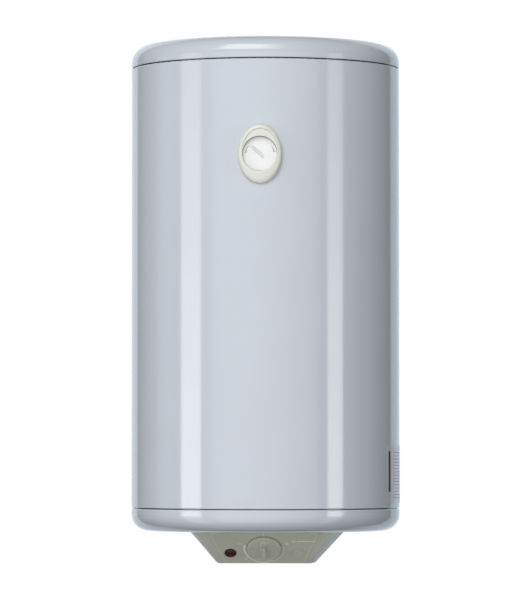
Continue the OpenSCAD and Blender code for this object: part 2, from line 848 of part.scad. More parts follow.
module thermostat_spindle() {
    low = -stat_back - 4;
    hub_low = knob_gap - hub_h;
    color("gainsboro") on_face(0, knob_s) {
        translate([0, 0, low]) cylinder(d = spindle_d, h = hub_low - low);
        translate([0, 0, hub_low - 0.1]) spindle_shape(0, hub_h + knob_disc_t + 1.5);
    }
}

module thermostat_body() {
    bush_r = 5;
    color([0.16, 0.16, 0.17]) on_face(0, knob_s) difference() {
        union() {
            translate([-stat_w / 2, -stat_l / 2, -stat_back - stat_t]) cube([stat_w, stat_l, stat_t]);
            translate([0, 0, -stat_back - eps]) cylinder(r = bush_r, h = eps + 1.8);
            for (s = [-1, 1]) translate([s * 14, 0, -stat_back - eps]) cylinder(r = 3.4, h = eps + 2);
            for (x = stat_tabs) translate([x - 3.15, stat_tab_y - 0.4, -stat_back - stat_t - stat_tab_h])
                cube([6.3, 0.8, stat_tab_h + eps]);
        }
        translate([0, 0, -stat_back - 6]) cylinder(r = spindle_d / 2 + slide_gap, h = 10);
        for (s = [-1, 1]) translate([s * 14, 0, -stat_back - 7]) cylinder(d = 3 + 2 * slide_gap, h = 10);
    }
}

module thermostat_screws() {
    color("silver") for (s = [-1, 1]) on_face(s * 14, knob_s)
        mirror([0, 0, 1]) translate([0, 0, foil_recess]) screw(3, 5.5, 0.8, 10);
}

// ---- lamp, plug and cable entry ----

module pilot_lens() {
    color([0.35, 0.02, 0.02]) on_face(-lamp_x, lamp_s) {
        translate([0, 0, 0.1]) cylinder(d1 = lamp_d, d2 = lamp_d - 2.4, h = 1.6);
        translate([0, 0, -face_wall_t - 3]) cylinder(r = lamp_seat_r(-1) - slide_gap, h = face_wall_t + 3.2);
    }
}

module pilot_lamp() {
    color("orange") on_face(-lamp_x, lamp_s) translate([0, 0, lamp_low]) {
        cylinder(d = 9, h = 5);
        cylinder(d = 6, h = 16);
    }
}

module blanking_plug() {
    color([0.55, 0.56, 0.51]) on_face(lamp_x, lamp_s) difference() {
        union() {
            translate([0, 0, -foil_recess]) cylinder(d = plug_d, h = foil_recess + 0.5);
            translate([0, 0, -face_wall_t - 1.5])
                cylinder(r = lamp_seat_r(1) - slide_gap, h = face_wall_t + 1.5);
        }
        translate([0, 0, -face_wall_t - 1.5 - eps]) cylinder(r = lamp_seat_r(1) - 1.8, h = face_wall_t + 1);
    }
}

module cable_grommet() {
    l = cover_wall + 2 * grommet_back;
    color([0.1, 0.1, 0.1]) on_rear(0, cable_s) translate([0, 0, -cover_wall - grommet_back]) difference() {
        union() {
            cylinder(d = grommet_d - 0.2, h = l);
            cylinder(d = grommet_flange_d, h = grommet_back);
            translate([0, 0, l - grommet_back]) cylinder(d = grommet_flange_d, h = grommet_back);
            translate([0, 0, l - eps]) cylinder(d1 = grommet_d - 2, d2 = cable_bore + 4, h = 7);
        }
        translate([0, 0, -eps]) cylinder(d = cable_bore, h = l + 10);
    }
}

// ---- control bracket ----

module control_bracket() {
    color("gainsboro") difference() {
        translate([-rail_w / 2, rail_y0, -rail_t]) cube([rail_w, rail_y1 - rail_y0, rail_t]);
        for (s = [-1, 1]) translate([s * rail_screw_x, rail_screw_y, -rail_t - eps])
            cylinder(d = 3.6, h = rail_t + 2 * eps);
    }
}

module bracket_screws() {
    color("silver") for (s = [-1, 1]) translate([s * rail_screw_x, rail_screw_y, -rail_t])
        screw(3, 6, 2, 9);
}

module terminal_block() {
    color("ivory") translate([block_x, unit_y, -rail_t - block_h]) difference() {
        union() {
            translate([-block_w / 2, -block_l / 2 + 4, 0]) cube([block_w, block_l - 8, block_h]);
            translate([-block_w / 2, -block_l / 2, 4]) cube([block_w, block_l, block_h - 4]);
        }
        for (x = block_poles) {
            translate([x, 0, -eps]) cylinder(d = 6, h = eps + block_bore_z);
            translate([x, 0, block_bore_z]) rotate([90, 0, 0])
                cylinder(d = 5.4, h = block_l + 2 * eps, center = true);
        }
    }
}

module terminal_screws() {
    color("gold") for (x = block_poles) translate([block_x + x, unit_y, -rail_t - block_h + 2.5])
        difference() {
            cylinder(d = 5.4, h = 3.4);
            translate([-3, -0.4, -eps]) cube([6, 0.8, eps + 1]);
        }
}

module earth_stud() {
    // Stud welded under the plate, with two nuts that hold the wire's eye between them
    color("gold") at_flange(plate_z - earth_stud_l) translate([earth_x, earth_y, 0]) {
        cylinder(d = 4, h = earth_stud_l);
        for (z = [eye_z - nut_h - eye_t, eye_z]) translate([0, 0, z]) cylinder(d = 7.8, h = nut_h, $fn = 6);
    }
}

module safety_cutout() {
    color("dimgray") translate([cutout_x, unit_y, -rail_t - cutout_h]) difference() {
        union() {
            translate([-cutout_w / 2, -cutout_l / 2, 0]) cube([cutout_w, cutout_l, cutout_h]);
            for (x = [-1, 1]) translate([x * cutout_tab_x - 3.15, -0.4, -cutout_tab_h])
                cube([6.3, 0.8, cutout_tab_h + eps]);
        }
        translate([0, 0, -eps]) cylinder(r = button_d / 2 + slide_gap, h = eps + 8);
    }
}

module reset_button() {
    color("firebrick") translate([cutout_x, unit_y, -rail_t - cutout_h])
        translate([0, 0, -button_out]) cylinder(d = button_d, h = button_out + 5);
}

// Sensor: a bulb in the well, and its capillary down to a switch
module sensor(side, route) {
    bulb_x = side * sensor_x;
    bulb_z = plate_z + well_h - bulb_l - 8;
    straight = 8;
    well_line = [for (k = [straight : -1 : 0])
        [bulb_x, flange_y + well_y, plate_z - 8 + (bulb_z - plate_z + 8) * k / straight]];
    color("peru") {
        translate(well_line[0]) cylinder(d = bulb_d, h = bulb_l);
        tube_along(concat(well_line, smooth(concat([well_mouth(side)], route), 4)), capillary_d);
    }
}

// ---- terminals: where the wires and capillaries end ----

function face_point(x, s, h) = [x, -face_y + s * sin(face_tilt) - h * cos(face_tilt),
    -s * cos(face_tilt) - h * sin(face_tilt)];
function well_mouth(side) = [side * sensor_x, flange_y + well_y, plate_z - 11];
function stat_tab(x, out = 0.4) =
    face_point(x, knob_s - stat_tab_y, -stat_back - stat_t - stat_tab_h - out);
function cutout_tab(side, out = 0.4) = [cutout_x + side * cutout_tab_x, unit_y,
    -rail_t - cutout_h - cutout_tab_h - out];
function element_pin(sx, sy, out = 0.4) = [sx * element_x, flange_y + sy * element_leg_gap / 2,
    plate_z - rod_out - terminal_pin_l - out];
function pin_side(sx, sy) = element_pin(sx, sy, -3) - [sx * (terminal_pin_d + wire_d + 0.2) / 2, 0, 0];
function pole(x, y) = [block_x + x, unit_y - y, -rail_t - block_h + block_bore_z];
function lamp_pin(side, out = 0.4) = face_point(-lamp_x + side * 2, lamp_s, lamp_low - out);

module thermostat_sensor() {
    stat_s = knob_s + 8;
    sensor(-1, [[-3, 5, 12], [-3.5, -3, 5], [-4.5, -13, -2],
        face_point(-5, stat_s, -stat_back - stat_t - 9), face_point(-5, stat_s, -stat_back - stat_t - 0.1)]);
}

module cutout_sensor() {
    front = unit_y - cutout_l / 2 - 0.1;
    sensor(1, [[3, 5, 12], [6, 0, 6], [12, -5, -1], [20, -6, -7], [25, -2, -11], [26, front, -12]]);
}

// ---- wiring ----

module wire(points) {
    tube_along(smooth(points, 4), wire_d);
}

module live_wires() {
    color("saddlebrown") {
        // terminal block to safety cut-out
        wire([pole(14, 6), pole(14, 13), [-14, -2, -12], [0, -2, -18], [12, 1, -27], [21, 7, -36],
            cutout_tab(-1, 5), cutout_tab(-1)]);
        // safety cut-out to thermostat
        wire([cutout_tab(1), cutout_tab(1, 5), [43, 7, -37], [40, -4, -30], [32, -8, -18], [24, -12, -6],
            [17, -20, 4], stat_tab(12, 5), stat_tab(12)]);
        // thermostat to left element
        wire([stat_tab(-12), stat_tab(-12, 5), [-16, -24, 8], [-21, -21, 6.5],
            element_pin(-1, -1, 3), element_pin(-1, -1)]);
        // pilot lamp to thermostat
        wire([lamp_pin(1), lamp_pin(1, 6), [-44, -21, -10], [-28, -17, -4], [-14, -15, 0], [-4, -18, 5],
            [-0.5, -24, 8], stat_tab(0, 4), stat_tab(0)]);
        // front pins of the two elements
        wire([pin_side(-1, -1), [-16, -25, 13.5], [-8, -29, 12], [8, -29, 12], [16, -25, 13.5],
            pin_side(1, -1)]);
    }
}

module neutral_wires() {
    color("royalblue") {
        // terminal block to left element
        wire([pole(1.3, 6), pole(1.3, 13), [-33, -1.5, -6], [-31, -3, 0], [-27, 2, 5],
            element_pin(-1, 1, 3), element_pin(-1, 1)]);
        // rear pins of the two elements
        wire([pin_side(-1, 1), [-14, 14, 12], [-6, 19, 11], [6, 19, 11], [14, 14, 12], pin_side(1, 1)]);
        // pilot lamp to terminal block
        wire([lamp_pin(-1), lamp_pin(-1, 6), [-56, -16, -13], [-48, -5, -11], [-39, -1, -10],
            pole(-1.3, 13), pole(-1.3, 6)]);
    }
}

module earth_wires() {
    stud = [earth_x, flange_y + earth_y, plate_z - earth_stud_l + eye_z - eye_t];
    color("yellowgreen") {
        // terminal block to the flange's earth stud, where the wire ends in an eye
        wire([pole(-14, 6), pole(-14, 13), [-48, -2, -6], [-48, -3, 3], [-45, -1, 12], stud - [6.5, 0, 5],
            stud - [6, 0, -0.3]]);
        translate(stud) difference() {
            union() {
                cylinder(r = 4, h = eye_t);
                translate([-7.5, -1.6, 0]) cube([7, 3.2, eye_t]);
            }
            translate([0, 0, -eps]) cylinder(r = 2 + weld_gap, h = eye_t + 2 * eps);
        }
    }
}

// ---- thermometer ----

module at_dial(y) {
    translate([0, -y, dial_z]) rotate([90, 0, 0]) children();
}

module oval(grow, h) {
    linear_extrude(h) scale([1, (bezel_h + 2 * grow) / (bezel_w + 2 * grow)]) circle(d = bezel_w + 2 * grow, $fn = 72);
}

module thermometer_bezel() {
    base = body_r - 6;
    color("ivory") difference() {
        hull() {
            at_dial(base) oval(0, bezel_front - base - 5);
            at_dial(base) oval(-1.2, bezel_front - base - 2);
            at_dial(base) oval(-4, bezel_front - base - 0.4);
            at_dial(base) oval(-7, bezel_front - base);
        }
        // flats of this cut lie outside the round jacket, whatever its size
        cylinder(r = body_r / cos(180 / $fn) + 0.05, h = body_h);
        at_dial(body_r - 20) cylinder(r = dial_r + 0.2, h = 60);
        at_dial(lens_front - lens_t - 4.5 - 20) cylinder(r = can_r + 0.3, h = 20);
    }
}

module thermometer_lens() {
    color([0.9, 0.95, 1, 0.3]) at_dial(lens_front - lens_t) cylinder(r = dial_r, h = lens_t);
}

module thermometer_dial() {
    color("white") at_dial(dial_front - dial_t) ring(dial_r - 0.2, 1.5, dial_t);
}

module thermometer_needle() {
    hub = 3;
    color("gray") at_dial(dial_front) rotate(-needle_turn) {
        translate([0, 0, 1.2]) linear_extrude(0.6)
            polygon([[-1.6, -needle_tail], [1.6, -needle_tail], [1.2, 0], [0.35, needle_l], [-0.35, needle_l], [-1.2, 0]]);
        translate([0, 0, 0.8]) cylinder(r = hub, h = 1.4);
        translate([0, 0, -dial_t - 8]) cylinder(d = 2, h = dial_t + 9);
    }
}

module thermometer_can() {
    back = dial_front - dial_t - can_depth;
    color("silver") difference() {
        at_dial(back) cylinder(r = can_r, h = can_depth);
        at_dial(back + can_wall) cylinder(r = can_r - can_wall, h = can_depth);
        at_dial(back - eps) cylinder(r = 1.2, h = 5);
    }
}

// Flat bimetal spiral that turns the needle
module thermometer_spring() {
    inner = 1.6;
    pitch = 1.8;
    strip = 0.6;
    turns = 4;
    edge = [for (a = [0 : 20 : 360 * turns]) [a, inner + pitch * a / 360]];
    color("goldenrod") at_dial(dial_front - dial_t - 7) linear_extrude(4) polygon(concat(
        [for (e = edge) e[1] * [cos(e[0]), sin(e[0])]],
        [for (i = [len(edge) - 1 : -1 : 0]) (edge[i][1] + strip) * [cos(edge[i][0]), sin(edge[i][0])]]));
}

module thermometer_stem() {
    back = dial_front - dial_t - can_depth;
    color("silver") at_dial(stem_tip) cylinder(d = stem_d, h = back - stem_tip);
}

module thermometer_pocket() {
    outer_end = tank_r + 6;
    r = stem_d / 2 + fit;
    color("silver") difference() {
        at_dial(stem_tip - 4) cylinder(r = r + pocket_wall, h = outer_end - stem_tip + 4);
        at_dial(stem_tip - 2) cylinder(r = r, h = outer_end - stem_tip + 2 + eps);
    }
}

// ---- wall brackets ----

bracket_heights = [body_h / 2 - hole_spacing_z / 2, body_h / 2 + hole_spacing_z / 2];

module bracket_slots() {
    for (z = bracket_heights, s = [-1, 1])
        translate([s * (leg_x + bracket_t / 2), axis_to_wall / 2, z])
            cube([bracket_t + 2 * slot_gap, axis_to_wall, bracket_h + 2 * slot_gap], center = true);
}

module wall_bracket(z) {
    color("gray") translate([0, 0, z]) difference() {
        union() {
            translate([-bracket_w / 2, axis_to_wall - bracket_t, -bracket_h / 2])
                cube([bracket_w, bracket_t, bracket_h]);
            for (s = [-1, 1]) translate([s * (leg_x + bracket_t / 2), axis_to_wall / 2, 0])
                cube([bracket_t, axis_to_wall, bracket_h], center = true);
        }
        translate([0, 0, -bracket_h]) cylinder(r = tank_r + weld_gap, h = 2 * bracket_h);
        for (s = [-1, 1]) translate([s * hole_spacing_x / 2, axis_to_wall + eps, 0]) rotate([90, 0, 0])
            cylinder(d = wall_hole_d, h = bracket_t + 2 * eps);
    }
}

place() jacket();
place() top_cap();
place() bottom_cap();
place() foam_insulation();
place() rating_label();
place() wall_bracket(bracket_heights[1]);  // wall_bracket_upper
place() wall_bracket(bracket_heights[0]);  // wall_bracket_lower
place() tank_barrel();
place() tank_top_head();
place() tank_bottom_head();
place() tank_neck();
place() flange_gasket();
place() flange_plate();
place() flange_bolts();
place() heating_element(-element_x);  // heating_element_left
place() heating_element(element_x);  // heating_element_right
place() element_insulators();
place() sensor_well();
place() magnesium_anode();
place() anode_nut();
place() nipple(1);  // cold_inlet_nipple
place() nipple(-1);  // hot_outlet_nipple
place() cold_inlet_diffuser();
place() hot_outlet_standpipe();
place() pipe_ring(1, "royalblue");  // cold_ring
place() pipe_ring(-1, "firebrick");  // hot_ring
place() terminal_cover();
place() fascia_plate();
place() fascia_foil();
place() cover_screws();
place() thermostat_knob();
place() thermostat_spindle();
place() thermostat_body();
place() thermostat_screws();
place() thermostat_sensor();
place() safety_cutout();
place() cutout_sensor();
place() reset_button();
place() control_bracket();
place() bracket_screws();
place() terminal_block();
place() terminal_screws();
place() earth_stud();
place() pilot_lens();
place() pilot_lamp();
place() blanking_plug();
place() cable_grommet();
place() live_wires();
place() neutral_wires();
place() earth_wires();
place() thermometer_bezel();
place() thermometer_lens();
place() thermometer_dial();
place() thermometer_needle();
place() thermometer_can();
place() thermometer_spring();
place() thermometer_stem();
place() thermometer_pocket();
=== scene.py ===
"""Looks of a wall-hung electric storage water heater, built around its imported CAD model.

Everything is in the part's own frame, in metres: X to the right seen from the front, Y into the
wall, Z up. Drawing planes (class Plane) take millimetres, because that is how such parts are drawn.
"""

import json
import math

import bmesh
import bpy
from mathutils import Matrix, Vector


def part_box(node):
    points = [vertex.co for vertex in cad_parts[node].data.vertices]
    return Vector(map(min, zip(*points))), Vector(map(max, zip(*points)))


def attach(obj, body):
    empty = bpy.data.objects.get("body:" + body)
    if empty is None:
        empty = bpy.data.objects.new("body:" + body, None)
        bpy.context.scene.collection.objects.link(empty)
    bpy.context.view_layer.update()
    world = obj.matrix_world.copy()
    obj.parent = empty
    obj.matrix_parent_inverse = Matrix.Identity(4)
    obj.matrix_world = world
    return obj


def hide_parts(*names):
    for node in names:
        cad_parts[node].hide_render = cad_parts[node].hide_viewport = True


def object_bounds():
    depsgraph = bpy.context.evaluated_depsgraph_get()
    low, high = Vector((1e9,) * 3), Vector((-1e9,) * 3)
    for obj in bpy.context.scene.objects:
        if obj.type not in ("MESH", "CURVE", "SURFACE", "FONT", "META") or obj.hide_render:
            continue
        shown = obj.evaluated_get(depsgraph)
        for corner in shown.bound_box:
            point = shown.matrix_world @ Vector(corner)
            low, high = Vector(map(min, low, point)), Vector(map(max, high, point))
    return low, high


MM = 0.001
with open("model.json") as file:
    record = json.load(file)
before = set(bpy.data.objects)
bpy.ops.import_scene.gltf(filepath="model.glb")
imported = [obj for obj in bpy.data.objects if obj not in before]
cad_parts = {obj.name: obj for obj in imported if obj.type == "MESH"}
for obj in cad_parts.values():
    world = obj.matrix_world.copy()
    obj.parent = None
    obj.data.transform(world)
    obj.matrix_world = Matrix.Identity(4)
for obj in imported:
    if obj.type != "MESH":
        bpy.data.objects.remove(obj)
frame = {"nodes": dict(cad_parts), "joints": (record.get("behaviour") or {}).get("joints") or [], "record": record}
cad_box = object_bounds()
nodes = frame["nodes"]
joints = {joint["name"]: joint for joint in frame["joints"]}


# ---------------------------------------------------------------- drawing planes


class Plane:
    """A flat drawing plane on the object. Sizes are millimetres: x across, y up, out of the surface."""

    def __init__(self, origin, out):
        self.origin = Vector(origin)
        self.out = Vector(out).normalized()
        self.across = Vector((1, 0, 0))
        self.up = self.out.cross(self.across)

    def at(self, x, y, out=0.0):
        return self.origin + (x * self.across + y * self.up + out * self.out) * MM

    def local(self, point):
        """The plane's own (x, y, out) of a point of the frame, in millimetres."""
        offset = (Vector(point) - self.origin) / MM
        return Vector((offset.dot(self.across), offset.dot(self.up), offset.dot(self.out)))

    def extent(self, node):
        """Lowest and highest corner of a CAD node in this plane's own directions, in millimetres."""
        places = [self.local(vertex.co) for vertex in nodes[node].data.vertices]
        low = Vector([min(place[axis] for place in places) for axis in range(3)])
        high = Vector([max(place[axis] for place in places) for axis in range(3)])
        return low, high


panel = Plane(joints["knob_turn"]["pos_m"], -Vector(joints["knob_turn"]["axis"]))
dial = Plane(joints["needle_turn"]["pos_m"], -Vector(joints["needle_turn"]["axis"]))

cap_low, cap_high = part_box("top_cap")
AXIS_Y = (cap_low.y + cap_high.y) / 2
CASING_R = (cap_high.x - cap_low.x) / 2


def on_casing(turn, z, out=0.0):
    """Point of the round casing: turn in degrees from the front towards +X, z in metres, out in mm."""
    reach = CASING_R + out * MM
    angle = math.radians(turn)
    return Vector((reach * math.sin(angle), AXIS_Y - reach * math.cos(angle), z))


# ---------------------------------------------------------------- materials


def add_node(tree, kind, inputs=None, **settings):
    """Adds a shader node. Each input is a value or another node's output socket."""
    made = tree.nodes.new(kind)
    for name, value in settings.items():
        setattr(made, name, value)
    for name, value in (inputs or {}).items():
        if isinstance(value, bpy.types.NodeSocket):
            tree.links.new(value, made.inputs[name])
        else:
            made.inputs[name].default_value = value
    return made


def scaled(colour, factor):
    return tuple(min(1.0, max(0.0, channel * factor)) for channel in colour) + (1.0,)


def noise(tree, wavelength, detail=3.0):
    """Noise whose features are about this many millimetres across."""
    place = add_node(tree, "ShaderNodeTexCoord")
    settings = {
        "Vector": place.outputs["Object"],
        "Scale": 1 / (wavelength * MM),
        "Detail": detail,
        "Roughness": 0.5,
    }
    return add_node(tree, "ShaderNodeTexNoise", settings).outputs["Fac"]


def cells(tree, size, output="Distance"):
    """Voronoi cells about this many millimetres across."""
    place = add_node(tree, "ShaderNodeTexCoord")
    settings = {"Vector": place.outputs["Object"], "Scale": 1 / (size * MM)}
    return add_node(tree, "ShaderNodeTexVoronoi", settings).outputs[output]


def spread(tree, value, low, high, start=0.3, end=0.7):
    """Maps a texture's middle range onto low to high."""
    settings = {"Value": value, "From Min": start, "From Max": end, "To Min": low, "To Max": high}
    return add_node(tree, "ShaderNodeMapRange", settings).outputs["Result"]


def compute(tree, operation, first, second=0.0):
    made = add_node(tree, "ShaderNodeMath", operation=operation)
    for index, value in enumerate((first, second)):
        if isinstance(value, bpy.types.NodeSocket):
            tree.links.new(value, made.inputs[index])
        else:
            made.inputs[index].default_value = value
    return made.outputs["Value"]


def multiply(tree, first, second):
    return compute(tree, "MULTIPLY", first, second)


def blend_colours(tree, factor, first, second):
    made = add_node(tree, "ShaderNodeMix", data_type="RGBA")
    for name, value in (("Factor", factor), ("A", first), ("B", second)):
        socket = [s for s in made.inputs if s.name == name and (name == "Factor" or s.type == "RGBA")][0]
        if isinstance(value, bpy.types.NodeSocket):
            tree.links.new(value, socket)
        else:
            socket.default_value = value
    return [s for s in made.outputs if s.type == "RGBA"][0]


def surface(
    name,
    colour,
    rough,
    metallic=0.0,
    mottle=0.05,
    mottle_size=60.0,
    rough_spread=0.04,
    rough_size=8.0,
    grain=0.0,
    grain_size=1.0,
    grain_cells=False,
    speck=0.0,
    speck_size=2.0,
    speck_colour=(0.1, 0.1, 0.1),
    coat=0.0,
    sheen=0.0,
    alpha=1.0,
    specular=0.5,
):
    """A finished surface: mottled colour, uneven roughness and a fine relief, all procedural.

    grain is the relief's height in millimetres, and every size is in millimetres too.
    """
    material = bpy.data.materials.new(name)
    material.use_nodes = True
    tree = material.node_tree
    shader = tree.nodes["Principled BSDF"]
    patches = spread(tree, noise(tree, mottle_size), 0.0, 1.0)
    tint = blend_colours(tree, patches, scaled(colour, 1 - mottle), scaled(colour, 1 + mottle))
    if speck > 0:
        dots = spread(tree, cells(tree, speck_size), speck, 0.0, 0.12, 0.3)
        tint = blend_colours(tree, dots, tint, speck_colour + (1.0,))
    tree.links.new(tint, shader.inputs["Base Color"])
    patchy = spread(tree, noise(tree, rough_size), rough - rough_spread, rough + rough_spread)
    tree.links.new(patchy, shader.inputs["Roughness"])
    if grain > 0:
        relief = cells(tree, grain_size) if grain_cells else noise(tree, grain_size, 2.0)
        settings = {"Height": relief, "Distance": grain * MM, "Strength": 1.0}
        bump = add_node(tree, "ShaderNodeBump", settings)
        tree.links.new(bump.outputs["Normal"], shader.inputs["Normal"])
    shader.inputs["Metallic"].default_value = metallic
    shader.inputs["Coat Weight"].default_value = coat
    shader.inputs["Coat Roughness"].default_value = 0.05
    shader.inputs["Sheen Weight"].default_value = sheen
    shader.inputs["Alpha"].default_value = alpha
    shader.inputs["Specular IOR Level"].default_value = specular
    shader.inputs["IOR"].default_value = 1.5
    return material


GROOVE_SHADE_START = 0.9  # depth at which the painted shade in the grooves between jacket and caps starts
GROOVE_SHADE_FULL = 1.9  # depth from which the painted shade is at its darkest
GROOVE_SHADE_HALF = 3.0  # height above and below a seam that the painted shade reaches


def casing_enamel(name, colour, rough, **finish):
    """The casing's enamel, with painted shade: its colour goes dark inside the grooves between jacket and caps,
    where shadow falls.
    """
    material = surface(name, colour, rough, **finish)
    tree = material.node_tree
    shader = tree.nodes["Principled BSDF"]
    place = add_node(tree, "ShaderNodeTexCoord")
    split = add_node(tree, "ShaderNodeSeparateXYZ", {"Vector": place.outputs["Object"]})
    x, y, z = (split.outputs[axis] for axis in ("X", "Y", "Z"))
    depth = compute(tree, "SUBTRACT", y, AXIS_Y)
    radius = compute(tree, "SQRT", compute(tree, "ADD", multiply(tree, x, x), multiply(tree, depth, depth)))
    inside = spread(tree, radius, 1.0, 0.0, CASING_R - GROOVE_SHADE_FULL * MM, CASING_R - GROOVE_SHADE_START * MM)
    seam_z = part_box("jacket")[1].z
    off_seam = compute(tree, "ABSOLUTE", compute(tree, "SUBTRACT", compute(tree, "ABSOLUTE", z), seam_z))
    near = spread(tree, off_seam, 1.0, 0.0, GROOVE_SHADE_HALF * MM, (GROOVE_SHADE_HALF + 0.4) * MM)
    # painted shade: the enamel's colour is darkened deep in the grooves near the seams, where shadow falls
    plain = shader.inputs["Base Color"].links[0].from_socket
    shaded = blend_colours(tree, multiply(tree, inside, near), plain, (0.03, 0.032, 0.036, 1.0))
    tree.links.new(shaded, shader.inputs["Base Color"])
    return material


def galvanised(name, colour):
    """Zinc-coated steel sheet with its crystal spangle."""
    material = surface(
        name, colour, 0.38, metallic=1.0, mottle=0.06, mottle_size=25, grain=0.02, grain_size=0.6
    )
    tree = material.node_tree
    shader = tree.nodes["Principled BSDF"]
    crystals = cells(tree, 9.0, output="Color")
    shade = add_node(tree, "ShaderNodeSeparateColor", {"Color": crystals}).outputs["Red"]
    lit = spread(tree, shade, 0.0, 1.0, 0.0, 1.0)
    tint = blend_colours(tree, lit, scaled(colour, 0.78), scaled(colour, 1.12))
    tree.links.new(tint, shader.inputs["Base Color"])
    tree.links.new(spread(tree, shade, 0.3, 0.5, 0.0, 1.0), shader.inputs["Roughness"])
    return material


MATERIALS = {
    # glossy stove enamel with a faint orange peel, and painted shade in the grooves at the seams
    "casing_enamel": casing_enamel(
        "casing_enamel", (0.60, 0.643, 0.695), 0.10, mottle=0.012, mottle_size=90,
        rough_spread=0.025, rough_size=5, grain=0.012, grain_size=6,
    ),
    "foam": surface(
        "foam", (0.78, 0.62, 0.30), 0.9, mottle=0.12, mottle_size=30, grain=0.6, grain_size=1.6,
        grain_cells=True, sheen=0.1,
    ),
    "label_print": surface(
        "label_print", (0.70, 0.675, 0.68), 0.34, metallic=0.35, mottle=0.03, mottle_size=12,
        grain=0.01, grain_size=1.2,
    ),
    "bracket_steel": galvanised("bracket_steel", (0.62, 0.64, 0.66)),
    "tank_enamel": surface(
        "tank_enamel", (0.045, 0.065, 0.10), 0.16, mottle=0.25, mottle_size=40, grain=0.05,
        grain_size=5, speck=0.7, speck_size=1.8, speck_colour=(0.25, 0.29, 0.34), coat=0.6,
    ),
    "gasket_rubber": surface(
        "gasket_rubber", (0.028, 0.028, 0.030), 0.62, mottle=0.2, mottle_size=14, grain=0.05,
        grain_size=0.8, specular=0.35,
    ),
    "zinc_steel": surface(
        "zinc_steel", (0.66, 0.67, 0.70), 0.32, metallic=1.0, mottle=0.07, mottle_size=7,
        rough_spread=0.08, rough_size=3, grain=0.015, grain_size=0.7,
    ),
    "copper": surface(
        "copper", (0.72, 0.36, 0.22), 0.30, metallic=1.0, mottle=0.16, mottle_size=18,
        rough_spread=0.1, rough_size=6, grain=0.015, grain_size=1.5,
    ),
    "insulator": surface(
        "insulator", (0.82, 0.79, 0.71), 0.42, mottle=0.04, mottle_size=4, grain=0.02,
        grain_size=0.5, speck=0.15, speck_size=0.8,
    ),
    "magnesium": surface(
        "magnesium", (0.50, 0.50, 0.49), 0.62, metallic=0.7, mottle=0.18, mottle_size=16,
        rough_spread=0.12, grain=0.08, grain_size=2.2,
    ),
    "white_plastic": surface(
        "white_plastic", (0.755, 0.765, 0.70), 0.34, mottle=0.012, mottle_size=30,
        rough_spread=0.03, rough_size=4, grain=0.008, grain_size=1.4,
    ),
    "blue_plastic": surface(
        "blue_plastic", (0.03, 0.11, 0.42), 0.34, mottle=0.05, mottle_size=12, grain=0.012,
        grain_size=0.9,
    ),
    "red_plastic": surface(
        "red_plastic", (0.50, 0.025, 0.02), 0.34, mottle=0.05, mottle_size=12, grain=0.012,
        grain_size=0.9,
    ),
    "grey_plastic": surface(
        "grey_plastic", (0.62, 0.62, 0.585), 0.5, mottle=0.025, mottle_size=40, grain=0.02,
        grain_size=0.8,
    ),
    "fascia_plastic": surface(
        "fascia_plastic", (0.575, 0.585, 0.485), 0.40, mottle=0.02, mottle_size=25, grain=0.018,
        grain_size=0.8,
    ),
    "foil_print": surface(
        "foil_print", (0.56, 0.57, 0.47), 0.46, mottle=0.02, mottle_size=20, grain=0.012,
        grain_size=0.6,
    ),
    "black_plastic": surface(
        "black_plastic", (0.02, 0.02, 0.021), 0.38, mottle=0.15, mottle_size=10, grain=0.02,
        grain_size=0.7,
    ),
    "button_plastic": surface(
        "button_plastic", (0.62, 0.04, 0.03), 0.30, mottle=0.04, mottle_size=3, grain=0.01,
        grain_size=0.6,
    ),
    "lens_red": surface(
        "lens_red", (0.095, 0.010, 0.012), 0.30, mottle=0.2, mottle_size=5, grain=0.01,
        grain_size=1.1, coat=0.15,
    ),
    "lamp_glass": surface(
        "lamp_glass", (0.85, 0.45, 0.16), 0.08, mottle=0.08, mottle_size=3, alpha=0.75,
    ),
    "brass": surface(
        "brass", (0.72, 0.52, 0.22), 0.28, metallic=1.0, mottle=0.1, mottle_size=6,
        rough_spread=0.08, rough_size=3, grain=0.012, grain_size=0.8,
    ),
    "wire_live": surface(
        "wire_live", (0.16, 0.055, 0.02), 0.40, mottle=0.08, mottle_size=6, grain=0.01, grain_size=0.5
    ),
    "wire_neutral": surface(
        "wire_neutral", (0.02, 0.12, 0.52), 0.40, mottle=0.08, mottle_size=6, grain=0.01,
        grain_size=0.5,
    ),
    "wire_earth": surface(
        "wire_earth", (0.30, 0.52, 0.04), 0.40, mottle=0.08, mottle_size=6, grain=0.01, grain_size=0.5
    ),
    "dial_print": surface(
        "dial_print", (0.94, 0.945, 0.95), 0.45, mottle=0.012, mottle_size=12, grain=0.006,
        grain_size=0.6,
    ),
    "needle_metal": surface(
        "needle_metal", (0.86, 0.87, 0.88), 0.36, metallic=0.2, mottle=0.03, mottle_size=3,
        grain=0.006, grain_size=0.4,
    ),
    "clear_lens": surface(
        "clear_lens", (0.95, 0.97, 0.98), 0.05, mottle=0.01, mottle_size=20, rough_spread=0.02,
        alpha=0.10,
    ),
}


def ink(name, colour, rough=0.5):
    """Screen-printed ink, a little uneven; the same film also carries painted shadow and painted highlight on the
    foil.
    """
    return surface(name, colour, rough, mottle=0.06, mottle_size=2.5, grain=0.006, grain_size=0.5)


INK_WHITE = ink("ink_white", (0.93, 0.93, 0.90))
# pale colour for the print of the plain mark, and painted highlight along the foil's edges
PALE_INK_AND_HIGHLIGHT = ink("pale_ink_and_highlight", (0.86, 0.86, 0.82))
